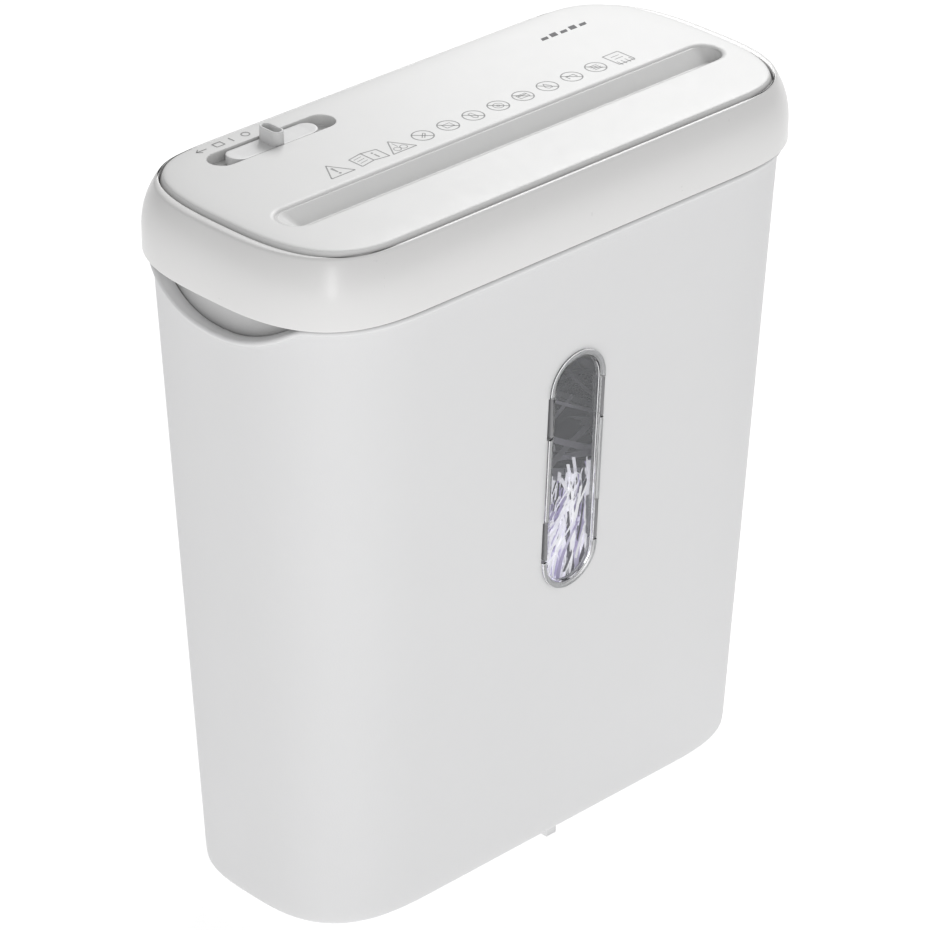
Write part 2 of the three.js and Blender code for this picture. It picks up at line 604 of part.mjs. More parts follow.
// A steel cutting roller: shaft, core and discs in one piece. Row 0 and row 1 discs pass between each other.
function roller(row, axis, shaftLeft) {
  const shaftRight = RIGHT_PLATE.outer + 0.4;
  const { journal, core, disc } = ROLLER;
  const profile = [
    [shaftLeft, 0],
    [shaftLeft, journal],
    [CUT_LEFT, journal],
    [CUT_LEFT, core],
  ];
  for (let i = 0; i < DISC.count; i++) {
    const x = discStart(row, i);
    profile.push([x, core], [x, disc], [x + DISC.width, disc], [x + DISC.width, core]);
  }
  profile.push([CUT_RIGHT, core], [CUT_RIGHT, journal], [shaftRight, journal], [shaftRight, 0]);
  return turned(profile, axis, ROLLER.sides);
}

// A comb whose teeth reach between a roller's discs and clear the strips off its core.
function stripperComb(row, axis, outward) {
  const near = axis.y + outward * (ROLLER.core + 0.9);
  const bar = axis.y + outward * (ROLLER.disc + 0.7);
  const far = bar + outward * COMB.bar;
  const points = [[LEFT_PLATE.inner + GAP, far]];
  const edge = [[LEFT_PLATE.inner + GAP, bar]];
  for (let i = 0; i < DISC.count; i++) {
    const gapStart = discStart(row, i) + DISC.width;
    const middle = gapStart + (discPitch - DISC.width) / 2;
    if (middle + COMB.tooth / 2 > CUT_RIGHT) continue;
    const [left, right] = [middle - COMB.tooth / 2, middle + COMB.tooth / 2];
    edge.push([left, bar], [left, near], [right, near], [right, bar]);
  }
  const end = edge[edge.length - 1][0];
  points.push(...edge, [end, far]);
  return extrudeZ(points, axis.z - COMB.thickness / 2, axis.z + COMB.thickness / 2);
}

// A flanged bush in a side plate; its flange is on the plate's inner side.
function bush(plate, axis) {
  const inward = plate.inner > plate.outer ? 1 : -1;
  const at = (...values) => values.map((value) => plate.inner + inward * value).sort((a, b) => a - b);
  const flange = at(GAP, GAP + BUSH.flangeWidth);
  const sleeve = at(GAP + BUSH.flangeWidth / 2, -PLATE.thickness - 0.1);
  const body = join(
    rod("x", BUSH.flange, ...flange, axis.y, axis.z, 20),
    rod("x", BUSH.radius, ...sleeve, axis.y, axis.z, 20),
  );
  return cut(body, bore("x", ROLLER.journal, GAP, sleeve[0] - 3, sleeve[1] + 3, axis.y, axis.z));
}

function sidePlate(points, plate, holes) {
  const faces = [plate.inner, plate.outer].sort((a, b) => a - b);
  const cutters = holes.map(([axis, radius, gap]) => bore("x", radius, gap, faces[0] - 1, faces[1] + 1, axis.y, axis.z));
  return cut(solid(extrudeX(points, ...faces)), ...cutters);
}

const TIE_RODS = [
  { y: SLOT.y - THROAT.width / 2 - TIE_ROD.radius - TIE_ROD.out, z: ROLLER.z + TIE_ROD.high },
  { y: REAR_ROLLER.y + TIE_ROD.back, z: ROLLER.z + TIE_ROD.high },
  { y: REAR_ROLLER.y + TIE_ROD.back + 2, z: ROLLER.z - TIE_ROD.low - 1 },
];

function buildCuttingBlock() {
  const [planeThree] = gearPlane(3);
  const [planeOne] = gearPlane(1);
  addPiece("rear_roller", roller(0, REAR_ROLLER, planeThree - 0.5), FINISHES.steel());
  addPiece("front_roller", roller(1, FRONT_ROLLER, planeOne - 0.5), FINISHES.steel());
  addPiece("stripper_comb_rear", stripperComb(0, REAR_ROLLER, 1), FINISHES.black());
  addPiece("stripper_comb_front", stripperComb(1, FRONT_ROLLER, -1), FINISHES.black());
  const bottom = FLOOR_TOP + GAP;
  const front = FRONT_ROLLER.y - BUSH.radius;
  const leftPoints = [
    [front - 10, bottom + 12],
    [front + 2, bottom],
    [MOTOR.y + 6, bottom],
    [MOTOR.y + 12, bottom + 6],
    [MOTOR.y + 12, PLATE.top - 12],
    [MOTOR.y, PLATE.top],
    [front - 10, PLATE.top],
  ];
  const rightPoints = [
    [front, ROLLER.z - 8],
    [front + 8, ROLLER.z - 20],
    [REAR_ROLLER.y + 20, ROLLER.z - 23],
    [REAR_ROLLER.y + 20, PLATE.top - 1],
    [front, PLATE.top - 1],
  ];
  const journals = [FRONT_ROLLER, REAR_ROLLER].map((axis) => [axis, BUSH.radius, GAP]);
  const studs = [GEAR_1_AXIS, GEAR_2_AXIS].map((axis) => [axis, AXLE, GAP]);
  const shaftHole = [MOTOR_AXIS, MOTOR.shaft, 1.2];
  addPiece("side_plate_left", sidePlate(leftPoints, LEFT_PLATE, [...journals, ...studs, shaftHole]), FINISHES.steel());
  addPiece("side_plate_right", sidePlate(rightPoints, RIGHT_PLATE, journals), FINISHES.steel());
  addPiece("bush_rear_left", bush(LEFT_PLATE, REAR_ROLLER), FINISHES.bronze());
  addPiece("bush_rear_right", bush(RIGHT_PLATE, REAR_ROLLER), FINISHES.bronze());
  addPiece("bush_front_left", bush(LEFT_PLATE, FRONT_ROLLER), FINISHES.bronze());
  addPiece("bush_front_right", bush(RIGHT_PLATE, FRONT_ROLLER), FINISHES.bronze());
  TIE_RODS.forEach(({ y, z }, i) => {
    const piece = rod("x", TIE_ROD.radius, LEFT_PLATE.inner + GAP, RIGHT_PLATE.inner - GAP, y, z, 12);
    addPiece(`tie_rod_${i + 1}`, piece, FINISHES.steel());
  });
  buildThroat();
}

// The guides that lead the paper from the panel's slot down to the cutters, and the flag it pushes.
function buildThroat() {
  const [half, gap] = [THROAT.width / 2, THROAT.gap / 2];
  const [low, high] = [ROLLER.z + THROAT.above, FUNNEL_FLOOR - GAP];
  const [start, end] = [LEFT_PLATE.inner + GAP, RIGHT_PLATE.inner - GAP];
  const guide = (side) =>
    extrudeX(
      [
        [SLOT.y + side * gap, low],
        [SLOT.y + side * (gap + 1.6), low],
        [SLOT.y + side * half, low + 4],
        [SLOT.y + side * half, high],
        [SLOT.y + side * gap, high],
      ],
      start,
      end,
    );
  const side = FLAG.width / 2 + 1.6;
  const notch = block(FLAG.x - side, FLAG.x + side, SLOT.y, SLOT.y + half + 1, low - 1, FLAG.z + 3);
  addPiece("throat_guide_front", guide(-1), FINISHES.greyPlastic());
  addPiece("throat_guide_rear", cut(solid(guide(1)), notch), FINISHES.greyPlastic());

  const pivot = { y: SLOT.y + FLAG.back, z: FLAG.z };
  const [left, right] = [FLAG.x - FLAG.width / 2, FLAG.x + FLAG.width / 2];
  const tip = [pivot.y - FLAG.reach, pivot.z - FLAG.drop];
  const arm = extrudeX([[pivot.y, pivot.z + 1.5], [pivot.y, pivot.z - 1.8], [tip[0] + 0.8, tip[1] - 0.8], tip], left, right);
  const hub = join(solid(arm), rod("x", FLAG.hub, left, right, pivot.y, pivot.z, 14));
  addPiece("paper_flag", cut(hub, bore("x", FLAG.pin, GAP, left - 1, right + 1, pivot.y, pivot.z, 12)), FINISHES.black());
  const box = block(left - SLIDE_GAP - 15, left - SLIDE_GAP, SLOT.y + half + GAP, SLOT.y + half + 9.5, FLAG.z - 4.5, FLAG.z + 5.5);
  const pin = rod("x", FLAG.pin, left - SLIDE_GAP - 1, right + 1, pivot.y, pivot.z, 10);
  addPiece("paper_switch", join(box, pin), FINISHES.nylon());
}

// ---------------------------------------------------------------- the gear train

// A gear's outline with straight-flanked teeth, thin enough to run freely; `phase` is one tooth's angle.
function gearPoints({ module, teeth, axis, phase }) {
  const radius = (module * teeth) / 2;
  const tip = radius + GEAR.addendum * module;
  const root = radius - GEAR.dedendum * module;
  const pitch = (2 * Math.PI) / teeth;
  const points = [];
  for (let i = 0; i < teeth; i++) {
    const middle = phase + i * pitch;
    for (const [share, r] of [[-0.25, root], [-0.1, tip], [0.1, tip], [0.25, root]]) {
      const angle = middle + share * pitch;
      points.push([axis.y + r * Math.cos(angle), axis.z + r * Math.sin(angle)]);
    }
  }
  return points;
}

const gearSolid = (gear, from, to) => solid(extrudeX(gearPoints(gear), from, to));

// The phase that puts a gear's tooth in the other gear's space, on the line between their axes.
function meshingPhase(other, axis, teeth) {
  const toward = Math.atan2(axis.z - other.axis.z, axis.y - other.axis.y);
  const share = ((toward - other.phase) * other.teeth) / (2 * Math.PI);
  return toward + Math.PI - ((0.5 - share) * 2 * Math.PI) / teeth;
}

function meshedWith(other, axis, teeth) {
  return { module: other.module, teeth, axis, phase: meshingPhase(other, axis, teeth) };
}

function buildGears() {
  const [one, two, three] = [1, 2, 3].map(gearPlane);
  const rearSync = { module: SYNC.module, teeth: SYNC.teeth, axis: REAR_ROLLER, phase: 0 };
  const frontSync = meshedWith(rearSync, FRONT_ROLLER, SYNC.teeth);
  const final = { module: FINAL.module, teeth: FINAL.wheel, axis: REAR_ROLLER, phase: 0 };
  const secondPinion = meshedWith(final, GEAR_2_AXIS, FINAL.pinion);
  const secondWheel = { module: MIDDLE.module, teeth: MIDDLE.wheel, axis: GEAR_2_AXIS, phase: 0 };
  const firstPinion = meshedWith(secondWheel, GEAR_1_AXIS, MIDDLE.pinion);
  const firstWheel = { module: FIRST.module, teeth: FIRST.wheel, axis: GEAR_1_AXIS, phase: 0 };
  const motorPinion = meshedWith(firstWheel, MOTOR_AXIS, FIRST.pinion);
  const bored = (body, axis, radius) => cut(body, bore("x", radius, GAP, three[0] - 2, one[1] + 2, axis.y, axis.z, 14));
  addPiece("sync_gear_rear", bored(gearSolid(rearSync, ...one), REAR_ROLLER, ROLLER.journal), FINISHES.steel());
  addPiece("sync_gear_front", bored(gearSolid(frontSync, ...one), FRONT_ROLLER, ROLLER.journal), FINISHES.steel());
  addPiece("final_gear", bored(gearSolid(final, ...three), REAR_ROLLER, ROLLER.journal), FINISHES.nylon());
  const second = join(gearSolid(secondWheel, ...two), gearSolid(secondPinion, three[0], two[0] + 1));
  addPiece("gear_2", bored(second, GEAR_2_AXIS, AXLE), FINISHES.nylon());
  const first = join(gearSolid(firstWheel, ...one), gearSolid(firstPinion, two[0], one[0] + 1));
  addPiece("gear_1", bored(first, GEAR_1_AXIS, AXLE), FINISHES.nylon());
  addPiece("motor_pinion", bored(gearSolid(motorPinion, ...one), MOTOR_AXIS, MOTOR.shaft), FINISHES.bronze());
  const studEnd = LEFT_PLATE.inner - GAP;
  addPiece("gear_1_axle", rod("x", AXLE, two[0] - 0.6, studEnd, GEAR_1_AXIS.y, GEAR_1_AXIS.z, 12), FINISHES.steel());
  addPiece("gear_2_axle", rod("x", AXLE, three[0] - 0.6, studEnd, GEAR_2_AXIS.y, GEAR_2_AXIS.z, 12), FINISHES.steel());
}

// ---------------------------------------------------------------- the motor

function buildMotor() {
  const { y, z, radius, length, wall, shaft } = MOTOR;
  const left = LEFT_PLATE.inner + GAP;
  const right = left + length;
  const can = cut(
    rod("x", radius, left, right, y, z, 28),
    rod("x", radius - wall, left + wall, right + 1, y, z, 28),
    bore("x", shaft, 1.2, left - 1, left + wall + 1, y, z, 12),
  );
  addPiece("motor_can", can, FINISHES.steel());
  const capRadius = radius - wall - GAP - 0.2;
  const cap = cut(
    rod("x", capRadius, right - 4, right, y, z, 28),
    bore("x", shaft, SLIDE_GAP, right - 5, right + 1, y, z, 12),
  );
  addPiece("motor_end_cap", cap, FINISHES.black());
  const coreLeft = left + 9;
  const coreRight = coreLeft + ARMATURE.length;
  const magnetIn = ARMATURE.radius + 0.9;
  const ring = cut(
    rod("x", capRadius, coreLeft - 2, coreRight + 2, y, z, 28),
    rod("x", magnetIn, coreLeft - 3, coreRight + 3, y, z, 28),
  );
  const half = radius + 1;
  const upper = block(coreLeft - 3, coreRight + 3, y - half, y + half, z + 3, z + half);
  const lower = block(coreLeft - 3, coreRight + 3, y - half, y + half, z - half, z - 3);
  addPiece("magnet_upper", ring.intersect(upper), FINISHES.magnet());
  addPiece("magnet_lower", ring.intersect(lower), FINISHES.magnet());
  const [planeLeft] = gearPlane(1);
  const fanEnd = right + 1.4 + FAN.length;
  const profile = [
    [planeLeft - 0.4, 0],
    [planeLeft - 0.4, shaft],
    [coreLeft, shaft],
    [coreLeft, ARMATURE.radius],
    [coreRight, ARMATURE.radius],
    [coreRight, shaft],
    [coreRight + 2, shaft],
    [coreRight + 2, ARMATURE.commutator],
    [coreRight + 8, ARMATURE.commutator],
    [coreRight + 8, shaft],
    [fanEnd + 0.4, shaft],
    [fanEnd + 0.4, 0],
  ];
  addPiece("motor_armature", turned(profile, MOTOR_AXIS, 14), FINISHES.steel());
  const fanLeft = right + 1.4;
  let fan = join(
    rod("x", FAN.radius, fanLeft, fanLeft + 1.4, y, z, 24),
    rod("x", FAN.hub, fanLeft, fanEnd, y, z, 16),
  );
  for (let i = 0; i < FAN.blades; i++) {
    const blade = new THREE.BoxGeometry(FAN.length - 1, FAN.radius - 3, 1.2);
    blade.translate((fanLeft + 1 + fanEnd) / 2, FAN.radius / 2 + 1, 0);
    blade.rotateX((i / FAN.blades) * 2 * Math.PI).translate(0, y, z);
    fan = join(fan, solid(blade));
  }
  fan = cut(fan, bore("x", shaft, GAP, fanLeft - 1, fanEnd + 1, y, z, 12));
  addPiece("cooling_fan", fan, FINISHES.black());
}

// ---------------------------------------------------------------- the electronics

function buildElectronics() {
  const low = FLOOR_TOP + BOARD.lift;
  const top = low + BOARD.thickness;
  const { x0, x1, y0, y1 } = BOARD;
  const on = top + GAP;
  addPiece("circuit_board", block(x0, x1, y0, y1, low, top), FINISHES.board());
  const can = join(rod("z", 6.5, on, on + 23, x0 + 18, y0 + 15, 18), rod("z", 5.6, on + 22, on + 24, x0 + 18, y0 + 15, 18));
  addPiece("capacitor", can, FINISHES.black());
  addPiece("relay", cut(block(x0 + 34, x0 + 54, y0 + 6, y0 + 22, on, on + 15), block(x0 + 37, x0 + 51, y0 + 9, y0 + 19, on + 14.4, on + 16)), FINISHES.black());
  const strip = block(x0 + 62, x0 + 84, y0 + 12, y0 + 21, on, on + 9);
  const wells = [0, 1, 2].map((i) => rod("z", 2.2, on + 4, on + 10, x0 + 66.5 + 6.5 * i, y0 + 16.5, 10));
  addPiece("terminal_block", cut(strip, ...wells), FINISHES.nylon());
}

buildBin();
buildBand();
buildGland();
buildPanel();
buildLowerHousing();
buildModeSwitch();
buildCuttingBlock();
buildGears();
buildMotor();
buildElectronics();

export default shredder;
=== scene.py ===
"""A desk-side paper shredder: a cutting head that rests on a tapered waste bin.

Lengths are written in millimetres and meshes are built in metres. The origin is on the floor under
the middle of the bin, +X is to the right, -Y to the front and +Z up.
"""

import json
import logging
import math
import random
from dataclasses import dataclass, field, replace
from enum import Enum

import bmesh
import bpy
from mathutils import Matrix, Vector, noise


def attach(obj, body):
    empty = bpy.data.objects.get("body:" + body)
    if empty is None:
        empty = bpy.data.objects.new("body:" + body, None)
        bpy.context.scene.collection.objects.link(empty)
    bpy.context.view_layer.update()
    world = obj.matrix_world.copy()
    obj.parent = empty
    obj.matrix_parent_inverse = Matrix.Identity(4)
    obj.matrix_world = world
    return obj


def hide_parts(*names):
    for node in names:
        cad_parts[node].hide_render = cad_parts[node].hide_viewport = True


LOG = logging.getLogger("shredder")
MM = 0.001

Point = tuple[float, float, float]
Ring = list[Point]
Pairs = list[tuple[float, float]]
Colour = tuple[float, float, float, float]


# ------------------------------------------------------------------------------ shader arithmetic


class Signal:
    """A shader value that takes part in Python arithmetic."""

    def __init__(self, recipe: "Recipe", socket: bpy.types.NodeSocket) -> None:
        """Keeps the socket and the recipe that its Math nodes go into."""
        self.recipe = recipe
        self.socket = socket

    def _math(self, operation: str, first: "Signal | float", second: "Signal | float") -> "Signal":
        """Adds a Math node.

        Args:
            operation: The node's operation.
            first: Its first value.
            second: Its second value.

        Returns:
            The node's result.
        """
        return self.recipe.node("ShaderNodeMath", {"operation": operation}, {0: first, 1: second})

    def __add__(self, other: "Signal | float") -> "Signal":
        """self + other."""
        return self._math("ADD", self, other)

    def __radd__(self, other: float) -> "Signal":
        """other + self."""
        return self._math("ADD", other, self)

    def __sub__(self, other: "Signal | float") -> "Signal":
        """self - other."""
        return self._math("SUBTRACT", self, other)

    def __rsub__(self, other: float) -> "Signal":
        """other - self."""
        return self._math("SUBTRACT", other, self)

    def __mul__(self, other: "Signal | float") -> "Signal":
        """self * other."""
        return self._math("MULTIPLY", self, other)

    def __rmul__(self, other: float) -> "Signal":
        """other * self."""
        return self._math("MULTIPLY", other, self)

    def over(self, limit: float) -> "Signal":
        """1 where self is above the limit, and 0 elsewhere."""
        return self._math("GREATER_THAN", self, limit)


class Recipe:
    """The nodes of one material."""

    def __init__(self, name: str) -> None:
        """Starts an empty node material of that name."""
        self.material = bpy.data.materials.new(name)
        self.material.use_nodes = True
        self.tree = self.material.node_tree
        self.tree.nodes.clear()

    def node(
        self, kind: str, settings: dict | None = None, values: dict | None = None, output: int | str = 0
    ) -> Signal:
        """Adds one node.

        Args:
            kind: The node's type.
            settings: Its own properties, set before its sockets.
            values: What each socket takes: a Signal to link, or a plain value.
            output: Which output to return.

        Returns:
            That output.
        """
        made = self.tree.nodes.new(kind)
        for key, value in (settings or {}).items():
            setattr(made, key, value)
        for key, value in (values or {}).items():
            if isinstance(value, Signal):
                self.tree.links.new(value.socket, made.inputs[key])
            else:
                made.inputs[key].default_value = value
        return Signal(self, made.outputs[output])

    def place(self, stretch: Point = (1.0, 1.0, 1.0)) -> Signal:
        """The point in the object's own frame, stretched."""
        coordinate = self.node("ShaderNodeTexCoord", output="Object")
        return self.node("ShaderNodeMapping", None, {"Vector": coordinate, "Scale": stretch})

    def noise(self, scale: float, detail: float = 2.0, stretch: Point = (1.0, 1.0, 1.0)) -> Signal:
        """Smooth noise of that many lumps per metre, from about 0.3 to 0.7."""
        values = {"Vector": self.place(stretch), "Scale": scale, "Detail": detail, "Roughness": 0.55}
        return self.node("ShaderNodeTexNoise", None, values, "Fac")

    def mix(self, share: "Signal | float", first: "Signal | tuple", second: "Signal | tuple") -> Signal:
        """The first colour where the share is 0 and the second where it is 1."""
        values = {0: share, 6: first, 7: second}
        return self.node("ShaderNodeMix", {"data_type": "RGBA"}, values, 2)

    def bump(self, height: Signal, depth: float, edge: float = 0.0) -> Signal:
        """A surface normal.

        Args:
            height: What raises the surface.
            depth: How far, in metres.
            edge: The radius that sharp edges are rounded to, in metres.

        Returns:
            The normal.
        """
        values: dict = {"Height": height, "Distance": depth, "Strength": 1.0}
        if edge:
            values["Normal"] = self.node("ShaderNodeBevel", {"samples": 4}, {"Radius": edge})
        return self.node("ShaderNodeBump", None, values)

    def surface(self, values: dict) -> bpy.types.Material:
        """Ends the material in a Principled surface.

        Args:
            values: What each of the surface's sockets takes.

        Returns:
            The material.
        """
        shader = self.node("ShaderNodeBsdfPrincipled", None, values)
        output = self.tree.nodes.new("ShaderNodeOutputMaterial")
        self.tree.links.new(shader.socket, output.inputs["Surface"])
        return self.material


def rgba(red: float, green: float, blue: float) -> Colour:
    """An opaque linear colour."""
    return (red, green, blue, 1.0)


# ------------------------------------------------------------------------------ finishes


@dataclass(frozen=True)
class MouldedPlastic:
    """Injection-moulded plastic: a fine grain, faint mottling and softly rounded edges.

    The grain's scale is in cells per metre. Its depth, the edge's radius and the reach of the
    painted shade that ambient occlusion puts into creases and recesses are in metres.
    """

    name: str
    colour: Colour
    shade: Colour
    roughness: float
    grain_scale: float
    grain_depth: float
    edge: float = 0.0
    coat: float = 0.0
    specular: float = 0.5
    # painted shade: how strongly and how far ambient occlusion darkens the colour in creases and recesses
    painted_shade_strength: float = 0.55
    painted_shade_reach: float = 0.008

    def material(self) -> bpy.types.Material:
        """Builds the material.

        Returns:
            The material.
        """
        recipe = Recipe(self.name)
        mottle = recipe.noise(14.0, 3.0)
        dust = recipe.noise(160.0, 4.0)
        colour = recipe.mix(mottle * 0.7 + dust * 0.3, self.shade, self.colour)
        # painted shade: ambient occlusion darkens the colour towards a dark copy of the shade colour in
        # creases, grooves and recesses
        reach = {"Distance": self.painted_shade_reach}
        open_sky = recipe.node("ShaderNodeAmbientOcclusion", {"samples": 8}, reach, "AO")
        painted_shade_colour = tuple(value * 0.3 for value in self.shade[:3]) + (1.0,)
        colour = recipe.mix((1.0 - open_sky) * self.painted_shade_strength, colour, painted_shade_colour)
        grain = recipe.node(
            "ShaderNodeTexVoronoi",
            {"feature": "SMOOTH_F1"},
            {"Vector": recipe.place(), "Scale": self.grain_scale, "Smoothness": 0.7},
            "Distance",
        )
        fine = recipe.noise(self.grain_scale * 2.3, 2.0)
        height = grain * 0.6 + fine * 0.4
        values = {
            "Base Color": colour,
            "Roughness": self.roughness + (dust - 0.5) * 0.12,
            "Normal": recipe.bump(height, self.grain_depth, self.edge),
            "Coat Weight": self.coat,
            "Coat Roughness": 0.12,
            "Specular IOR Level": self.specular,
        }
        return recipe.surface(values)


@dataclass(frozen=True)
class ClearPlastic:
    """Polished clear plastic with a few faint flow marks."""

    name: str
    tint_and_painted_light: Colour
    roughness: float
    transmission: float = 1.0
    cover: float = 1.0

    def material(self) -> bpy.types.Material:
        """Builds the material.

        Returns:
            The material.
        """
        recipe = Recipe(self.name)
        flow = recipe.noise(60.0, 1.0, (1.0, 1.0, 0.3))
        # for the lens this colour is the plastic's own tint; for the clips it is painted shade and for the
        # pane painted reflection
        values = {
            "Base Color": self.tint_and_painted_light,
            "Roughness": self.roughness,
            "IOR": 1.49,
            "Transmission Weight": self.transmission,
            "Alpha": self.cover,
            "Normal": recipe.bump(flow, 0.00002),
        }
        return recipe.surface(values)


@dataclass(frozen=True)
class MachinedMetal:
    """Metal with turning or brushing marks across the given direction, and a little oil."""

    name: str
    colour: Colour
    dull: Colour
    roughness: float
    marks: Point = (1.0, 0.12, 0.12)
    metallic: float = 1.0

    def material(self) -> bpy.types.Material:
        """Builds the material.

        Returns:
            The material.
        """
        recipe = Recipe(self.name)
        marks = recipe.noise(1500.0, 3.0, self.marks)
        stain = recipe.noise(70.0, 4.0)
        values = {
            "Base Color": recipe.mix(stain, self.dull, self.colour),
            "Metallic": self.metallic,
            "Roughness": self.roughness + (stain - 0.5) * 0.25 + (marks - 0.5) * 0.1,
            "Normal": recipe.bump(marks, 0.00003),
        }
        return recipe.surface(values)


@dataclass(frozen=True)
class BoardLacquer:
    """Solder mask over a circuit board, with faint tracks."""

    name: str = "board lacquer"

    def material(self) -> bpy.types.Material:
        """Builds the material.

        Returns:
            The material.
        """
        recipe = Recipe(self.name)
        tracks = recipe.node(
            "ShaderNodeTexBrick",
            {"offset": 0.37, "squash": 1.0},
            {"Vector": recipe.place(), "Scale": 60.0, "Mortar Size": 0.03, "Bias": 0.0},
            "Fac",
        )
        values = {
            "Base Color": recipe.mix(tracks, rgba(0.02, 0.13, 0.05), rgba(0.05, 0.24, 0.09)),
            "Roughness": 0.35 + recipe.noise(120.0) * 0.2,
            "Normal": recipe.bump(tracks, 0.00005),
        }
        return recipe.surface(values)


@dataclass(frozen=True)
class PrintedPaper:
    """Office paper with lines of print here and there."""

    name: str
    paper: Colour
    tone: Colour
    # painted light: how strongly the paper glows with its own colour
    painted_glow: float = 0.0

    def material(self) -> bpy.types.Material:
        """Builds the material.

        Returns:
            The material.
        """
        recipe = Recipe(self.name)
        patches = recipe.noise(38.0, 2.0)
        fibre = recipe.noise(900.0, 3.0)
        tinted = patches.over(0.5) * 0.8 + fibre * 0.2
        values = {
            "Base Color": recipe.mix(tinted, self.paper, self.tone),
            # painted light: the paper glows with its own colour though it is no lamp, so the strips look lit
            "Emission Color": self.paper,
            "Emission Strength": self.painted_glow,
            "Roughness": 0.75 + fibre * 0.15,
            "Normal": recipe.bump(fibre, 0.00005),
            "Specular IOR Level": 0.3,
        }
        return recipe.surface(values)


@dataclass(frozen=True)
class PadInk:
    """Pad-printed ink, slightly uneven."""

    name: str
    colour: Colour
    thin: Colour

    def material(self) -> bpy.types.Material:
        """Builds the material.

        Returns:
            The material.
        """
        recipe = Recipe(self.name)
        cover = recipe.noise(1200.0, 2.0)
        values = {
            "Base Color": recipe.mix(cover, self.colour, self.thin),
            "Roughness": 0.45 + cover * 0.1,
        }
        return recipe.surface(values)


class Finishes:
    """Every finish of the shredder, each built once."""

    def __init__(self) -> None:
        """Builds the materials."""
        self.bin = MouldedPlastic(
            "bin plastic",
            rgba(0.83, 0.83, 0.835),
            rgba(0.79, 0.79, 0.795),
            0.46,
            1500.0,
            0.00004,
            painted_shade_strength=0.45,
            painted_shade_reach=0.004,
        ).material()
        self.band = MouldedPlastic(
            "band plastic",
            rgba(0.86, 0.855, 0.85),
            rgba(0.83, 0.825, 0.82),
            0.3,
            2500.0,
            0.000004,
            edge=0.0003,
            coat=0.1,
        ).material()
        self.panel = MouldedPlastic(
            "panel plastic",
            rgba(0.88, 0.88, 0.875),
            rgba(0.85, 0.85, 0.845),
            0.4,
            2200.0,
            0.00002,
            edge=0.0004,
        ).material()
        self.slider = MouldedPlastic(
            "slider plastic",
            rgba(0.88, 0.88, 0.88),
            rgba(0.85, 0.85, 0.85),
            0.32,
            2500.0,
            0.00001,
            edge=0.0003,
        ).material()
        self.housing = MouldedPlastic(
            "housing plastic", rgba(0.66, 0.66, 0.66), rgba(0.6, 0.6, 0.6), 0.5, 1600.0, 0.00004
        ).material()
        self.black = MouldedPlastic(
            "black plastic", rgba(0.03, 0.03, 0.033), rgba(0.02, 0.02, 0.022), 0.42, 1400.0, 0.00004
        ).material()
        self.nylon = MouldedPlastic(
            "natural nylon", rgba(0.8, 0.75, 0.62), rgba(0.7, 0.65, 0.52), 0.4, 1800.0, 0.00002
        ).material()
        self.rubber = MouldedPlastic(
            "foot rubber", rgba(0.07, 0.07, 0.072), rgba(0.045, 0.045, 0.048), 0.8, 1100.0, 0.00008
        ).material()
        self.lens = ClearPlastic("lens plastic", rgba(0.97, 0.975, 0.985), 0.03).material()
        # painted reflection: the pane is a grey sheet covering a sixth of the view, standing in for the
        # reflection on the clear pane
        self.pane = ClearPlastic("pane plastic", rgba(0.45, 0.46, 0.48), 0.04, 0.0, 0.16).material()
        # painted shade: the clips are dark grey to stand for the shaded slots seen through the clear plastic
        self.clip = ClearPlastic("clip plastic", rgba(0.3, 0.3, 0.31), 0.15, 0.2).material()
        self.steel = MachinedMetal(
            "turned steel", rgba(0.6, 0.61, 0.62), rgba(0.4, 0.4, 0.41), 0.32
        ).material()
        self.bronze = MachinedMetal(
            "sintered bronze", rgba(0.62, 0.42, 0.2), rgba(0.4, 0.26, 0.12), 0.42
        ).material()
        self.ferrite = MachinedMetal(
            "ferrite", rgba(0.07, 0.07, 0.075), rgba(0.04, 0.04, 0.042), 0.6, (1.0, 1.0, 1.0), 0.3
        ).material()
        self.board = BoardLacquer().material()
        # painted light: the tinted and white strips glow a little so that they look lit behind the window
        self.paper = PrintedPaper(
            "tinted paper", rgba(0.72, 0.68, 0.86), rgba(0.42, 0.36, 0.62), 0.12
        ).material()
        self.heaped_paper = PrintedPaper(
            "heaped paper", rgba(0.7, 0.69, 0.74), rgba(0.6, 0.58, 0.66)
        ).material()
        self.white_paper = PrintedPaper(
            "white paper", rgba(0.95, 0.95, 0.97), rgba(0.85, 0.84, 0.92), 0.35
        ).material()
        self.printed_paper = PrintedPaper(
            "printed paper", rgba(0.1, 0.09, 0.12), rgba(0.03, 0.03, 0.04)
        ).material()
        # painted shade: the core is near-black paper standing for the deep shade inside the heap
        self.painted_shade_paper = PrintedPaper(
            "paper core in painted shade", rgba(0.1, 0.095, 0.12), rgba(0.05, 0.045, 0.06)
        ).material()
        self.grey_ink = PadInk("grey ink", rgba(0.3, 0.3, 0.3), rgba(0.38, 0.38, 0.38)).material()
        self.dark_ink = PadInk("dark ink", rgba(0.03, 0.03, 0.035), rgba(0.06, 0.06, 0.065)).material()


# ------------------------------------------------------------------------------ modelling tools


def deselect() -> None:
    """Leaves object mode with nothing selected."""
    if bpy.context.object and bpy.context.object.mode != "OBJECT":
        bpy.ops.object.mode_set(mode="OBJECT")
    bpy.ops.object.select_all(action="DESELECT")


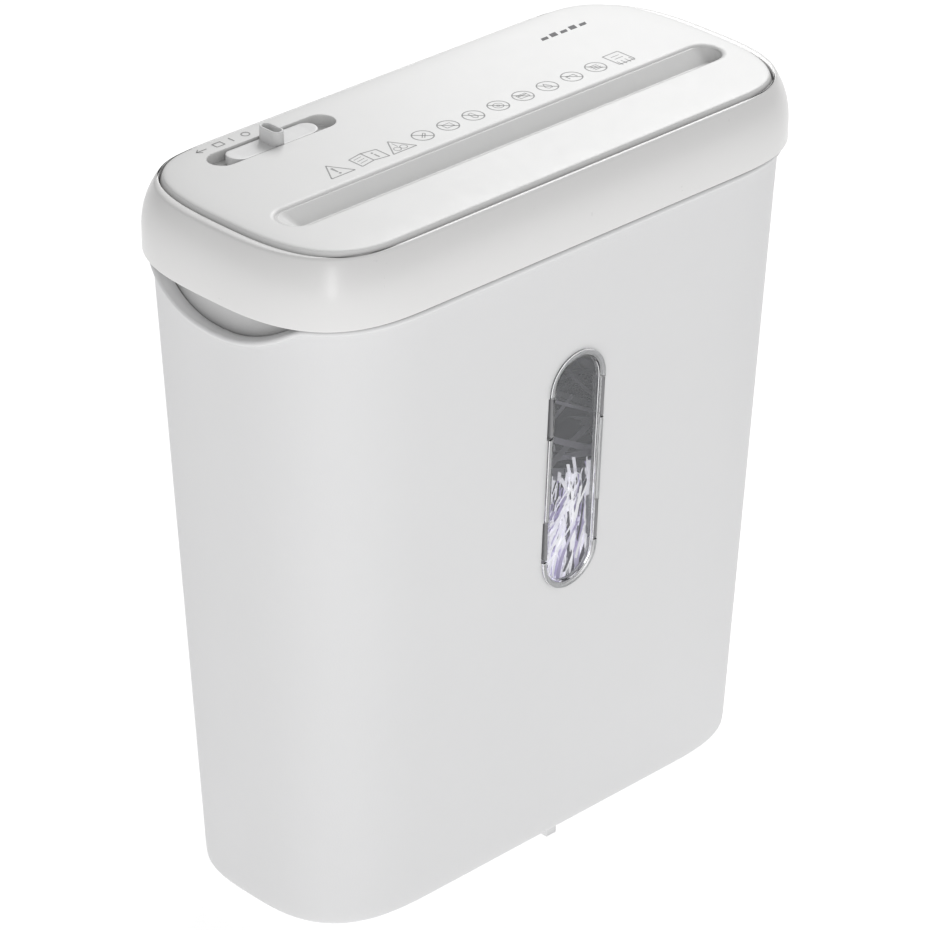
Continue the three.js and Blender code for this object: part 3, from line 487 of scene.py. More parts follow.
class RingModel:
    """A mesh drawn ring by ring: a circle that is extruded to each next outline."""

    def __init__(self, name: str, ring: Ring) -> None:
        """Adds the circle and gives it its first outline.

        Args:
            name: The piece's name.
            ring: The first outline, in millimetres.
        """
        deselect()
        bpy.ops.mesh.primitive_circle_add(vertices=len(ring), radius=1.0, fill_type="NOTHING")
        self.piece = bpy.context.object
        self.piece.name = self.piece.data.name = name
        bpy.ops.object.mode_set(mode="EDIT")
        mesh = bmesh.from_edit_mesh(self.piece.data)
        mesh.verts.ensure_lookup_table()
        for vertex, point in zip(mesh.verts, ring):
            vertex.co = Vector(point) * MM
        bmesh.update_edit_mesh(self.piece.data)
        self.count = len(ring)

    def draw(self, ring: Ring) -> "RingModel":
        """Extrudes the selected ring and gives it the next outline.

        Args:
            ring: That outline, in millimetres.

        Returns:
            This model.
        """
        bpy.ops.mesh.extrude_edges_move()
        mesh = bmesh.from_edit_mesh(self.piece.data)
        mesh.verts.ensure_lookup_table()
        for vertex, point in zip(mesh.verts[-self.count :], ring):
            vertex.co = Vector(point) * MM
        bmesh.update_edit_mesh(self.piece.data)
        return self

    def closed(self) -> bpy.types.Object:
        """Caps both ends, turns the faces outwards and returns the piece."""
        bpy.ops.mesh.edge_face_add()
        bpy.ops.mesh.select_all(action="DESELECT")
        bpy.ops.mesh.select_non_manifold()
        bpy.ops.mesh.edge_face_add()
        bpy.ops.mesh.select_all(action="SELECT")
        bpy.ops.mesh.normals_make_consistent(inside=False)
        bpy.ops.object.mode_set(mode="OBJECT")
        return self.piece

    def looped(self) -> bpy.types.Object:
        """Joins the last ring to the first and returns the piece."""
        bpy.ops.mesh.select_all(action="DESELECT")
        bpy.ops.mesh.select_non_manifold()
        bpy.ops.mesh.bridge_edge_loops()
        bpy.ops.mesh.select_all(action="SELECT")
        bpy.ops.mesh.normals_make_consistent(inside=False)
        bpy.ops.object.mode_set(mode="OBJECT")
        return self.piece

    def open(self) -> bpy.types.Object:
        """Returns the piece with its ends left open."""
        bpy.ops.object.mode_set(mode="OBJECT")
        return self.piece


def drawn_through(name: str, rings: list[Ring]) -> RingModel:
    """A ring model drawn through rings of equal length.

    Args:
        name: The piece's name.
        rings: Its outlines, from one end to the other.

    Returns:
        The model, with its ends open.
    """
    model = RingModel(name, rings[0])
    for ring in rings[1:]:
        model.draw(ring)
    return model


def closed_through(name: str, rings: list[Ring]) -> bpy.types.Object:
    """A closed piece through rings of equal length."""
    return drawn_through(name, rings).closed()


def run_modifier(piece: bpy.types.Object, kind: str, **settings: object) -> None:
    """Adds a modifier and applies it.

    Args:
        piece: The piece it works on.
        kind: The modifier's type.
        settings: Its settings by name.
    """
    deselect()
    bpy.context.view_layer.objects.active = piece
    piece.select_set(True)
    modifier = piece.modifiers.new(kind.lower(), kind)
    for key, value in settings.items():
        setattr(modifier, key, value)
    bpy.ops.object.modifier_apply(modifier=modifier.name)


def carve(piece: bpy.types.Object, tool: bpy.types.Object, operation: str = "DIFFERENCE") -> None:
    """Cuts the tool out of the piece, or joins it on, and removes the tool."""
    run_modifier(piece, "BOOLEAN", operation=operation, solver="EXACT", object=tool)
    bpy.data.objects.remove(tool)


def box_piece(name: str, low: Point, high: Point, edge: float, segments: int = 3) -> bpy.types.Object:
    """A block with rounded edges.

    Args:
        name: The piece's name.
        low: Its lowest corner.
        high: Its highest corner.
        edge: The radius of its edges.
        segments: How many faces round each edge.

    Returns:
        The piece.
    """
    deselect()
    bpy.ops.mesh.primitive_cube_add(size=1.0)
    piece = bpy.context.object
    piece.name = piece.data.name = name
    middle = (Vector(low) + Vector(high)) * 0.5 * MM
    size = (Vector(high) - Vector(low)) * MM
    for vertex in piece.data.vertices:
        vertex.co = Vector(c * s for c, s in zip(vertex.co, size)) + middle
    if edge:
        run_modifier(piece, "BEVEL", width=edge * MM, segments=segments, limit_method="NONE")
    return piece


def joined(name: str, pieces: list[bpy.types.Object]) -> bpy.types.Object:
    """Joins several meshes into one piece.

    Args:
        name: The piece's name.
        pieces: The meshes, which are used up.

    Returns:
        The piece.
    """
    deselect()
    for piece in pieces:
        piece.select_set(True)
    bpy.context.view_layer.objects.active = pieces[0]
    bpy.ops.object.join()
    pieces[0].name = pieces[0].data.name = name
    return pieces[0]


def dress(
    piece: bpy.types.Object,
    material: bpy.types.Material,
    body: str,
    replaced: tuple = (),
    angle: float = 32.0,
) -> None:
    """Gives a piece its finish, its smooth shading, its body and the CAD nodes it stands for.

    Args:
        piece: The piece.
        material: Its finish.
        body: The body it moves with.
        replaced: The CAD nodes it stands for.
        angle: Edges sharper than this, in degrees, stay sharp.
    """
    deselect()
    piece.data.materials.clear()
    piece.data.materials.append(material)
    bpy.context.view_layer.objects.active = piece
    piece.select_set(True)
    bpy.ops.object.shade_smooth_by_angle(angle=math.radians(angle))
    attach(piece, body)
    if replaced:
        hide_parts(*replaced)
    LOG.info("%s: %d faces, rides on %s", piece.name, len(piece.data.polygons), body)


# ------------------------------------------------------------------------------ outlines


@dataclass(frozen=True)
class Outline:
    """A plan outline with straight long sides, and ends that are half superellipses.

    Its length and depth are half sizes, and its end is how far each curved end reaches in.
    """

    length: float
    depth: float
    end: float
    power: float = 2.95
    steps: int = 34
    straight: int = 26

    def points(self, inset: float = 0.0) -> Pairs:
        """The outline's points.

        Args:
            inset: How far inside the outline they lie.

        Returns:
            The points, anticlockwise from above, from the middle of the right end.
        """
        end, depth, flat = self.end - inset, self.depth - inset, self.length - self.end
        quarter = []
        for i in range(self.steps + 1):
            t = i / self.steps * math.pi / 2
            x = end * max(math.cos(t), 0.0) ** (2 / self.power) if i < self.steps else 0.0
            y = depth * math.sin(t) ** (2 / self.power) if i else 0.0
            quarter.append((flat + x, y))
        side = [(flat - 2 * flat * i / self.straight, depth) for i in range(1, self.straight)]
        top = quarter + side + [(-x, y) for x, y in reversed(quarter)]
        return top[:-1] + [(-x, -y) for x, y in top[:-1]]

    def ring(self, z: float, inset: float = 0.0) -> Ring:
        """The outline as a level ring."""
        return [(x, y, z) for x, y in self.points(inset)]

    def sized(self, length: float, depth: float) -> "Outline":
        """The same outline with its half sizes grown."""
        return replace(self, length=self.length + length, depth=self.depth + depth, end=self.end + length)


def obround(length: float, width: float, steps: int = 20) -> Pairs:
    """An outline with straight sides and round ends, lying along the first axis.

    Args:
        length: Its length over all.
        width: Its width.
        steps: How many faces round each end.

    Returns:
        Its points, anticlockwise.
    """
    radius = width / 2
    points = []
    for side in (1, -1):
        for i in range(steps + 1):
            angle = i / steps * math.pi - math.pi / 2 + (0.0 if side > 0 else math.pi)
            points.append((side * (length / 2 - radius) + radius * math.cos(angle), radius * math.sin(angle)))
    return points


def obround_ring(length: float, width: float, x: float, y: float, z: float) -> Ring:
    """A level obround ring about a point."""
    return [(x + u, y + v, z) for u, v in obround(length, width)]


def spread(start: float, end: float, steps: int) -> list[float]:
    """Values from start to end, evenly spaced."""
    return [start + (end - start) * i / steps for i in range(steps + 1)]


def circle_points(radius: float, steps: int) -> Pairs:
    """The points of a circle about the origin, anticlockwise."""
    return [(radius * math.cos(a), radius * math.sin(a)) for a in spread(0, 2 * math.pi, steps)[:-1]]


# ------------------------------------------------------------------------------ the bin


@dataclass
class WasteBin:
    """The tapered bin, its window and its feet."""

    finishes: Finishes
    bottom: float = 4.0
    rim: float = 279.0
    rim_half: Outline = Outline(135.0, 61.6, 58.5)
    base_half: Outline = Outline(124.0, 50.0, 57.0)
    wall: float = 2.2
    floor: float = 2.6
    bead: float = 2.6
    bead_reach: float = 1.8
    scoop_depth: float = 14.0
    scoop_half: float = 41.4
    ledge: float = 1.7
    window_z: float = 177.0
    window_height: float = 107.2
    window_width: float = 30.0
    clip_rise: float = 28.2
    clip_slot: float = 9.3
    foot_radius: float = 8.0
    foot_places: tuple = ((-92, -30), (-92, 30), (92, -30), (92, 30))
    post_top: float = 236.2
    post_height: float = 44.0

    def half(self, z: float) -> Outline:
        """The outer outline at a height.

        Args:
            z: The height.

        Returns:
            The outline.
        """
        t = (z - self.bottom) / (self.rim - self.bottom)
        low, high = self.base_half, self.rim_half
        return Outline(
            low.length + (high.length - low.length) * t,
            low.depth + (high.depth - low.depth) * t,
            low.end + (high.end - low.end) * t,
        )

    def front(self, z: float) -> float:
        """Where the front face is at a height."""
        return -self.half(z).depth

    def dip(self, x: float, y: float) -> float:
        """How far the rim dips into a finger scoop.

        Args:
            x: A point of the rim's outline.
            y: The same point's other coordinate.

        Returns:
            The dip, 0 away from the scoops.
        """
        if abs(x) < self.rim_half.length - self.rim_half.end * 0.75:
            return 0.0
        radius = (self.scoop_half**2 + self.scoop_depth**2) / (2 * self.scoop_depth)
        across = min(abs(y), radius * 0.999)
        arc = self.scoop_depth - radius + math.sqrt(radius**2 - across**2)
        soft, reach = 1.2, 6.0
        return 0.5 * (arc + math.sqrt(arc * arc + soft * soft)) if arc > -reach else 0.0

    def wall_ring(self, share: float, inset: float, lower: float = 0.0, ledge: float = 0.0) -> Ring:
        """A ring of the wall.

        Args:
            share: How far up the wall it lies, from 0 at the bottom to 1 at the rim.
            inset: How far inside the outer face it lies.
            lower: How far below that height it lies.
            ledge: How much further in it lies over the scoops.

        Returns:
            The ring.
        """
        full_ledge = 2.5
        ring = []
        for i, (rim_x, rim_y) in enumerate(self.rim_half.points()):
            dip = self.dip(rim_x, rim_y)
            z = self.bottom + (self.rim - dip - self.bottom) * share - lower
            x, y = self.half(z).points(inset + ledge * min(1.0, dip / full_ledge))[i]
            ring.append((x, y, z))
        return ring

    def build_shell(self) -> None:
        """Models the bin's wall, rim bead, scoop ledges and floor, and cuts its window."""
        base_round = 2.2
        rings = []
        for t in spread(0.0, math.pi / 2, 5):
            inset = base_round * (1 - math.sin(t))
            rings.append(self.half(self.bottom).ring(self.bottom + base_round * (1 - math.cos(t)), inset))
        shares = spread(0.02, 1.0, 56)
        rings += [self.wall_ring(share, 0.0) for share in shares[:-1]]
        bead = (
            (1.25, 0.0),
            (1.06, 0.05),
            (0.98, 0.25),
            (0.9, 0.62),
            (0.75, 0.9),
            (0.55, 1.0),
            (0.32, 0.97),
            (0.14, 0.82),
        )
        rings += [self.wall_ring(1.0, -self.bead_reach * reach, self.bead * low) for low, reach in bead]
        lip = (
            (-self.bead_reach * 0.6, 0.06, 0.0),
            (-self.bead_reach * 0.3, 0.0, 0.0),
            (self.wall * 0.5, 0.0, 0.0),
            (self.wall - 0.2, 0.1, 0.0),
            (self.wall, 0.5, self.ledge),
            (self.wall, 2.2, self.ledge),
            (self.wall, 3.2, 0.0),
        )
        rings += [self.wall_ring(1.0, inset, lower, ledge) for inset, lower, ledge in lip]
        inner = [share for share in reversed(shares[:-2]) if share > 0.04]
        rings += [self.wall_ring(share, self.wall) for share in inner]
        floor = self.bottom + self.floor
        rings.append(self.half(floor).ring(floor + 1.5, self.wall + 0.5))
        rings.append(self.half(floor).ring(floor, self.wall + 2.0))
        shell = closed_through("bin_shell", rings)
        carve(shell, self.window_tool(2.0))
        for side, y, z in self.clip_places():
            xs = sorted((side * 10.0, side * 15.6))
            low, high = z - self.clip_slot, z + self.clip_slot
            carve(shell, box_piece("slot", (xs[0], y - 4, low), (xs[1], y + 8, high), 0.0))
        dress(shell, self.finishes.bin, "bin", ("bin_body",))

    def clip_places(self) -> list[tuple[int, float, float]]:
        """The lens's four clips.

        Returns:
            Each clip's side, -1 or 1, with the front face's place and the height at its middle.
        """
        heights = [self.window_z - self.clip_rise, self.window_z + self.clip_rise]
        return [(side, self.front(z), z) for side in (-1, 1) for z in heights]

    def window_ring(self, inset: float, out: float) -> Ring:
        """A ring of the window's outline, on a plane beside the front face.

        Args:
            inset: How far inside the window's outer edge it lies.
            out: How far in front of the face it lies.

        Returns:
            The ring.
        """
        ring = []
        for u, v in obround(self.window_height - 2 * inset, self.window_width - 2 * inset, 28):
            z = self.window_z + u
            ring.append((-v, self.front(z) - out, z))
        return ring

    def window_tool(self, inset: float) -> bpy.types.Object:
        """A block of the window's shape, through the wall."""
        return closed_through("window tool", [self.window_ring(inset, 4.0), self.window_ring(inset, -6.0)])

    def build_lens(self) -> None:
        """Models the lens: a raised bevelled frame round a flat pane, and the clips at its sides."""
        profile = [
            (2.3, -1.6),
            (2.3, 0.1),
            (0.0, 0.1),
            (0.0, 0.65),
            (0.12, 0.88),
            (0.4, 1.0),
            (1.0, 1.0),
            (1.3, 0.93),
            (2.5, 0.4),
            (3.1, 0.2),
            (3.3, 0.0),
            (3.3, -1.6),
        ]
        frame = drawn_through("lens_frame", [self.window_ring(inset, out) for inset, out in profile]).looped()
        for side, y, z in self.clip_places():
            xs = sorted((side * 13.0, side * 16.0))
            low, high = z - self.clip_slot, z + self.clip_slot
            carve(frame, box_piece("notch", (xs[0], y - 3, low), (xs[1], y + 0.9, high), 0.0))
        dress(frame, self.finishes.lens, "bin", ("window_lens",), 25.0)
        pane = closed_through("lens_pane", [self.window_ring(3.35, out) for out in (-1.5, -0.2)])
        dress(pane, self.finishes.pane, "bin", ("window_lens",), 25.0)
        clips = []
        for side, y, z in self.clip_places():
            xs = sorted((side * 13.1, side * 14.7))
            clips.append(box_piece("clip", (xs[0], y - 0.75, z - 8.1), (xs[1], y + 4.4, z + 9.2), 0.3))
            hook = sorted((side * 13.4, side * 15.3))
            clips.append(box_piece("hook", (hook[0], y + 2.5, z - 7.8), (hook[1], y + 4.3, z + 8.6), 0.25))
        # the clips' dark grey is painted shade
        dress(joined("lens_clips", clips), self.finishes.clip, "bin", ("window_lens",))

    def build_details(self) -> None:
        """Models the feet, the small front tab and the post that works the head's interlock."""
        hollow = ((0.55, 0.5), (0.6, 0.0))
        profile = hollow + ((0.86, 0.0), (0.93, 0.06), (0.99, 0.5), (1.0, 1.2), (1.0, 3.0), (0.97, 3.7))
        circle = circle_points(self.foot_radius, 40)
        for number, (x, y) in enumerate(self.foot_places, 1):
            rings = [[(x + u * share, y + v * share, z) for u, v in circle] for share, z in profile]
            pad = closed_through(f"foot_{number}", rings)
            dress(pad, self.finishes.rubber, "bin", (f"foot_pad_{number}",))
        y = -self.base_half.depth + 1.8
        tab = box_piece("front_tab", (-2.9, y, 0.3), (2.9, y + 4.8, 5.0), 0.5)
        dress(tab, self.finishes.bin, "bin", ("bin_body",))
        top, bottom = self.post_top, self.post_top - self.post_height
        middle, inner, slope = top - 20, -50, 30
        post = box_piece("interlock_post", (56.5, -59.3, bottom), (63.5, -41.5, top), 0.0)
        for vertex in post.data.vertices:
            if vertex.co.z < middle * MM and vertex.co.y > inner * MM:
                vertex.co.z += slope * MM
            if vertex.co.z < middle * MM:
                vertex.co.y = (self.front(bottom) + 1.2) * MM
            elif vertex.co.y < inner * MM:
                vertex.co.y = (self.front(top) + 1.2) * MM
        run_modifier(post, "BEVEL", width=0.5 * MM, segments=2, limit_method="ANGLE")
        dress(post, self.finishes.bin, "bin", ("bin_body",))

    def build(self) -> None:
        """Builds the whole bin."""
        self.build_shell()
        self.build_lens()
        self.build_details()


@dataclass
class PaperHeap:
    """Shredded paper in the bin: a packed core, and curled strips against the window and on top."""

    finishes: Finishes
    bin: WasteBin
    seed: int = 11
    level: float = 166.5
    slope: float = 0.45
    core_top: float = 150.0
    window_strips: int = 430
    loose_strips: int = 200

    def surface(self, x: float) -> float:
        """The heap's height at a place along the bin."""
        near = max(-20.0, min(22.0, x))
        return self.level + self.slope * near - 0.012 * (near - 4.0) ** 2

    def build_core(self) -> None:
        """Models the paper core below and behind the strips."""
        rings = []
        levels = ((8.5, 6.0), (10.5, 4.5), (60.0, 4.5), (100.0, 5.5), (118.0, 16.0), (self.core_top, 20.0))
        for z, inset in levels:
            rings.append(self.bin.half(z).ring(z, inset))
        base = rings[-1]
        for shrink, lift in ((0.8, 4.0), (0.55, 7.0), (0.3, 9.0), (0.1, 10.0)):
            rings.append([(x * shrink, y * shrink, self.core_top + lift) for x, y, _ in base])
        core = closed_through("paper_core", rings)
        for vertex in core.data.vertices:
            shake = noise.noise(vertex.co * 90.0) * 3.0 * MM
            if vertex.co.z > 0.1:
                vertex.co.z += shake
        # painted shade: the core's near-black paper stands for the shade between and behind the strips
        dress(core, self.finishes.painted_shade_paper, "bin", (), 60.0)

    def strip(
        self, place: Vector, lean: float, turn: float, length: float, width: float, dice: random.Random
    ) -> bpy.types.Object:
        """One curled strip of paper.

        Args:
            place: The strip's middle, in millimetres.
            lean: How far it leans from upright, in the plane of the window, in radians.
            turn: How far it turns about the vertical, in radians.
            length: Its length.
            width: Its width.
            dice: The source of chance.

        Returns:
            The strip.
        """
        deselect()
        bpy.ops.mesh.primitive_grid_add(x_subdivisions=1, y_subdivisions=15, size=1.0)
        piece = bpy.context.object
        bow, sway, twist = dice.uniform(-0.08, 0.08), dice.uniform(-0.13, 0.13), dice.uniform(-1.4, 1.4)
        start = dice.uniform(-1.1, 1.1)
        frame = Matrix.Rotation(turn, 3, "Z") @ Matrix.Rotation(lean, 3, "Y")
        for vertex in piece.data.vertices:
            along, across = vertex.co.y, vertex.co.x
            angle = start + twist * along
            x = length * sway * (4 * along * along) + across * width * math.cos(angle)
            y = length * bow * (4 * along * along) + across * width * math.sin(angle)
            point = frame @ Vector((x, y, along * length)) + place
            vertex.co = self.kept_inside(point) * MM
        return piece

    def kept_inside(self, point: Vector) -> Vector:
        """The point, moved inside the bin and under the heap's top if it lies outside."""
        z = max(14.0, point.z)
        half = self.bin.half(z)
        depth = half.depth - self.bin.wall - 1.6
        return Vector((max(-104.0, min(104.0, point.x)), max(-depth, min(depth, point.y)), z))

    def build_strips(self) -> None:
        """Models the strips behind the window and over the top of the heap."""
        dice = random.Random(self.seed)
        white, tinted, printed, heaped = [], [], [], []
        for _ in range(self.window_strips):
            x = dice.uniform(-24.0, 28.0)
            length = dice.uniform(30.0, 62.0)
            below = dice.expovariate(1 / 15.0)
            lean = dice.gauss(0.55, 0.08) if below < 8.0 and x < 4.0 else dice.gauss(0.12, 0.2)
            z = self.surface(x) - below - length / 2 * math.cos(lean)
            depth = self.bin.half(z).depth - self.bin.wall - 1.7 - dice.uniform(0.0, 7.0)
            place = Vector((x - length / 2 * math.sin(lean), -depth, z))
            strip = self.strip(place, lean, dice.uniform(-0.25, 0.25), length, dice.uniform(0.8, 1.9), dice)
            share = dice.random()
            (white if share < 0.56 else tinted if share < 0.84 else printed).append(strip)
        for _ in range(self.loose_strips):
            x, y = dice.uniform(-98.0, 98.0), dice.uniform(-38.0, 38.0)
            z = 152.0 + dice.uniform(0.0, 8.0) + 0.03 * x
            length = dice.uniform(40.0, 85.0)
            lean = math.pi / 2 + dice.uniform(-0.3, 0.3)
            turn = dice.uniform(0, math.pi)
            heaped.append(self.strip(Vector((x, y, z)), lean, turn, length, dice.uniform(1.6, 3.0), dice))
        groups = (
            ("white", white, self.finishes.white_paper),
            ("tinted", tinted, self.finishes.paper),
            ("heaped", heaped, self.finishes.heaped_paper),
            ("printed", printed, self.finishes.printed_paper),
        )
        for name, strips, finish in groups:
            dress(joined(f"paper_strips_{name}", strips), finish, "bin", (), 60.0)

    def build(self) -> None:
        """Builds the heap."""
        self.build_core()
        self.build_strips()


# ------------------------------------------------------------------------------ the head


@dataclass
class HeadCasing:
    """The head's ring, panel and lower housing."""

    finishes: Finishes
    band_bottom: float = 279.4
    band_top: float = 306.9
    panel_top: float = 309.0
    band_half: Outline = Outline(138.5, 63.8, 58.5)
    panel_half: Outline = Outline(129.2, 56.7, 40.0)
    rim_half: Outline = Outline(135.0, 61.6, 58.5)
    slot_x: float = 6.0
    slot_y: float = -18.6
    slot_length: float = 222.0
    funnel_x: float = 2.1
    funnel_y: float = -16.6
    switch_x: float = -69.2
    switch_y: float = 39.6
    panel_seat: float = 302.3
    seat_under: float = 300.5
    gland_x: float = 92.0
    gland_z: float = 292.0

    def band_profile(self) -> Pairs:
        """The band's outer face: a rounded lower edge, an upright foot and a curve inwards.

        Returns:
            Its heights and insets, from below.
        """
        edge, foot, lean = 0.9, 8.0, 4.9
        points = []
        for t in spread(0.0, math.pi / 2, 4):
            points.append((self.band_bottom + edge * (1 - math.cos(t)), edge * (1 - math.sin(t))))
        points.append((self.band_bottom + foot, 0.0))
        height = self.band_top - self.band_bottom
        for t in spread(0.04, 1.0, 22):
            points.append((self.band_bottom + foot + (height - foot) * t, lean * t**2.35))
        return points

    def build_band(self) -> None:
        """Models the ring round the head."""
        band, panel = self.band_half, self.panel_half
        opening = panel.sized(0.5, 0.5)
        top, seat, under = self.band_top, self.panel_seat, self.seat_under
        rings = [band.ring(self.band_bottom + 0.3, 2.2), band.ring(self.band_bottom, 1.6)]
        rings += [band.ring(z, inset) for z, inset in self.band_profile()]
        inside = (
            (band, top + 0.25, 5.3),
            (band, top + 0.32, 5.8),
            (opening.sized(0.5, 0.5), top + 0.32, 0.0),
            (opening.sized(0.15, 0.15), top + 0.2, 0.0),
            (opening, top - 0.2, 0.0),
            (opening, seat, 0.0),
            (panel, seat, 4.0),
            (panel, under, 4.0),
            (band, under, 5.4),
            (band, 290.0, 2.2),
        )
        rings += [outline.ring(z, inset) for outline, z, inset in inside]
        piece = drawn_through("head_band", rings).looped()
        hole = [(self.gland_x + u, self.gland_z + v) for u, v in circle_points(6.9, 40)]
        tool = closed_through("gland tool", [[(x, y, z) for x, z in hole] for y in (52.0, 70.0)])
        carve(piece, tool)
        dress(piece, self.finishes.band, "head", ("rim_band",), 40.0)

    def build_gland(self) -> None:
        """Models the cord gland at the rear."""
        outer = self.band_half.depth
        profile = [
            (3.6, outer - 7.0),
            (8.0, outer - 7.0),
            (8.0, outer - 5.0),
            (6.4, outer - 4.8),
            (6.4, outer - 0.7),
            (6.1, outer - 0.3),
            (4.4, outer - 0.2),
            (3.9, outer - 0.5),
            (3.6, outer - 1.2),
        ]
        rings = []
        for radius, y in profile:
            rings.append([(self.gland_x + u, y, self.gland_z + v) for u, v in circle_points(radius, 40)])
        gland = drawn_through("rear_gland", rings).looped()
        dress(gland, self.finishes.black, "head", ("cord_gland",))

    def build_panel(self) -> None:
        """Models the top panel with its feed funnel, its slot and its switch recess."""
        half, top = self.panel_half, self.panel_top
        rings = [half.ring(302.6, 0.0), half.ring(305.2, 0.0)]
        for t in spread(0.0, 1.0, 7):
            rings.append(half.ring(305.2 + (top - 305.75) * t, 1.15 * t**1.8))
        crown = ((1.5, 0.36), (2.0, 0.24), (3.2, 0.16), (6.0, 0.07), (11.0, 0.0))
        rings += [half.ring(top - drop, inset) for inset, drop in crown]
        panel = closed_through("top_panel_skin", rings)
        hollow = closed_through("hollow", [half.ring(300.0, 3.4), half.ring(top - 2.4, 3.4)])
        carve(panel, hollow)
        carve(panel, self.trough(3.6, 301.0, top - 2.0), "UNION")
        tray = [obround_ring(65.2, 15.4, self.switch_x, self.switch_y, z) for z in (302.8, top - 2.0)]
        carve(panel, closed_through("tray", tray), "UNION")
        carve(panel, self.funnel_tool())
        recess = (
            (61.4, 11.6, top - 4.6),
            (61.8, 12.0, top - 4.45),
            (61.9, 12.1, top - 0.5),
            (62.3, 12.5, top - 0.1),
            (63.0, 13.2, top + 0.2),
        )
        rings = [obround_ring(length, width, self.switch_x, self.switch_y, z) for length, width, z in recess]
        carve(panel, closed_through("recess", rings))
        groove = [obround_ring(21.2, 3.8, self.switch_x, self.switch_y, z) for z in (301.0, 306.0)]
        carve(panel, closed_through("groove", groove))
        left, right = self.slot_x - self.slot_length / 2, self.slot_x + self.slot_length / 2
        slot = box_piece("slot", (left, self.slot_y - 2.5, 299.0), (right, self.slot_y + 2.5, 304.0), 0.0)
        carve(panel, slot)
        dress(panel, self.finishes.panel, "head", ("top_panel",), 30.0)
        run_modifier(panel, "WEIGHTED_NORMAL", keep_sharp=True, weight=60)

    def trough(self, grow: float, low: float, high: float) -> bpy.types.Object:
        """The block under the panel that the funnel is cut into."""
        rings = [obround_ring(235 + grow, 17.1 + grow, self.funnel_x, self.funnel_y, z) for z in (low, high)]
        return closed_through("trough", rings)

    def funnel_tool(self) -> bpy.types.Object:
        """The funnel's hollow: a rounded lip, steep flanks and a level floor round the slot.

        Returns:
            The block that cuts it.
        """
        top = self.panel_top
        sections = [
            (self.slot_x, self.slot_y, 223.4, 6.0, 302.8),
            (self.slot_x, self.slot_y, 224.2, 6.6, 302.95),
            (5.2, self.slot_y + 0.25, 226.0, 8.2, 304.0),
            (4.0, self.slot_y + 0.9, 229.5, 11.6, 306.0),
            (2.8, self.slot_y + 1.6, 233.0, 15.0, 308.0),
            (self.funnel_x, self.funnel_y, 233.8, 15.8, top - 1.1),
            (self.funnel_x, self.funnel_y, 234.5, 16.5, top - 0.55),
            (self.funnel_x, self.funnel_y, 235.6, 17.6, top - 0.2),
            (self.funnel_x, self.funnel_y, 237.2, 19.2, top - 0.04),
            (self.funnel_x, self.funnel_y, 239.0, 21.0, top + 0.2),
        ]
        rings = [obround_ring(length, width, x, y, z) for x, y, length, width, z in sections]
        return closed_through("funnel tool", rings)

    def build_lower(self) -> None:
        """Models the light grey housing whose skirt hangs inside the bin's rim."""
        rim, flange = self.rim_half, self.band_half
        profile = (
            (rim, 241.5, 6.2),
            (rim, 241.8, 5.6),
            (rim, 242.6, 5.38),
            (rim, 260.0, 4.9),
            (rim, 278.6, 4.42),
            (rim, 279.3, 4.0),
            (flange, 279.3, 2.8),
            (flange, 279.6, 2.5),
            (flange, 281.2, 2.5),
            (flange, 281.3, 2.7),
            (rim, 281.3, 6.5),
            (rim, 260.0, 6.9),
            (rim, 243.5, 7.4),
        )
        rings = [outline.ring(z, inset) for outline, z, inset in profile]
        housing = closed_through("lower_housing_skin", rings)
        chute = box_piece("chute", (-103.0, -39.0, 236.0), (115.0, 8.6, 250.0), 0.0)
        run_modifier(chute, "BEVEL", width=2.0 * MM, segments=3, limit_method="NONE")
        carve(housing, chute)
        hole = [(60 + u, -45.5 + v) for u, v in circle_points(3.0, 24)]
        carve(housing, closed_through("hole", [[(x, y, z) for x, y in hole] for z in (240.0, 246.0)]))
        dress(housing, self.finishes.housing, "head", ("lower_housing",))

    def build(self) -> None:
        """Builds the casing."""
        self.build_band()
        self.build_gland()
        self.build_panel()
        self.build_lower()


@dataclass
class ModeSwitch:
    """The slider of the mode switch: a dished plate with a hollow thumb piece."""

    finishes: Finishes
    x: float = -69.2
    y: float = 39.6
    base: float = 304.7
    top: float = 308.7
    length: float = 44.0
    width: float = 10.2
    dish: float = 2.3

    def height(self, x: float) -> float:
        """The height of the plate's top, lowest beside the thumb piece."""
        share = min(1.0, abs(x - self.x) / (self.length / 2))
        return self.top - self.dish * (1 - share) ** 1.3

    def build(self) -> None:
        """Models the slider."""
        rings = [obround_ring(self.length - 0.6, self.width - 0.6, self.x, self.y, self.base)]
        rings.append(obround_ring(self.length, self.width, self.x, self.y, self.base + 0.3))
        edge = ((0.0, 0.25), (0.07, 0.07), (0.25, 0.0), (0.8, 0.0), (2.2, 0.0), (3.8, 0.0), (5.0, 0.0))
        for inset, drop in edge:
            flat = obround_ring(self.length - 2 * inset, self.width - 2 * inset, self.x, self.y, 0.0)
            rings.append([(px, py, self.height(px) - drop) for px, py, _ in flat])
        plate = closed_through("slider_plate", rings)
        knob_rings = []
        sections = [
            (11.6, 7.0, 305.4),
            (11.6, 6.4, 306.3),
            (11.6, 5.9, 307.2),
            (11.6, 5.6, 308.4),
            (11.6, 5.6, 313.5),
            (11.4, 5.4, 314.0),
            (11.0, 5.0, 314.2),
            (10.0, 4.0, 314.2),
            (9.6, 3.6, 314.0),
            (9.4, 3.4, 313.5),
            (9.2, 3.2, 311.4),
        ]
        for length, width, z in sections:
            knob_rings.append([(self.x - v, self.y + u, z) for u, v in obround(length, width)])
        knob = closed_through("slider_knob", knob_rings)
        low, high = (self.x - 3, self.y - 1.3, 299.8), (self.x + 3, self.y + 1.3, 305.2)
        peg = box_piece("slider_peg", low, high, 0.3)
        piece = joined("mode_slider_skin", [plate, knob, peg])
        dress(piece, self.finishes.slider, "slider", ("mode_slider",), 40.0)


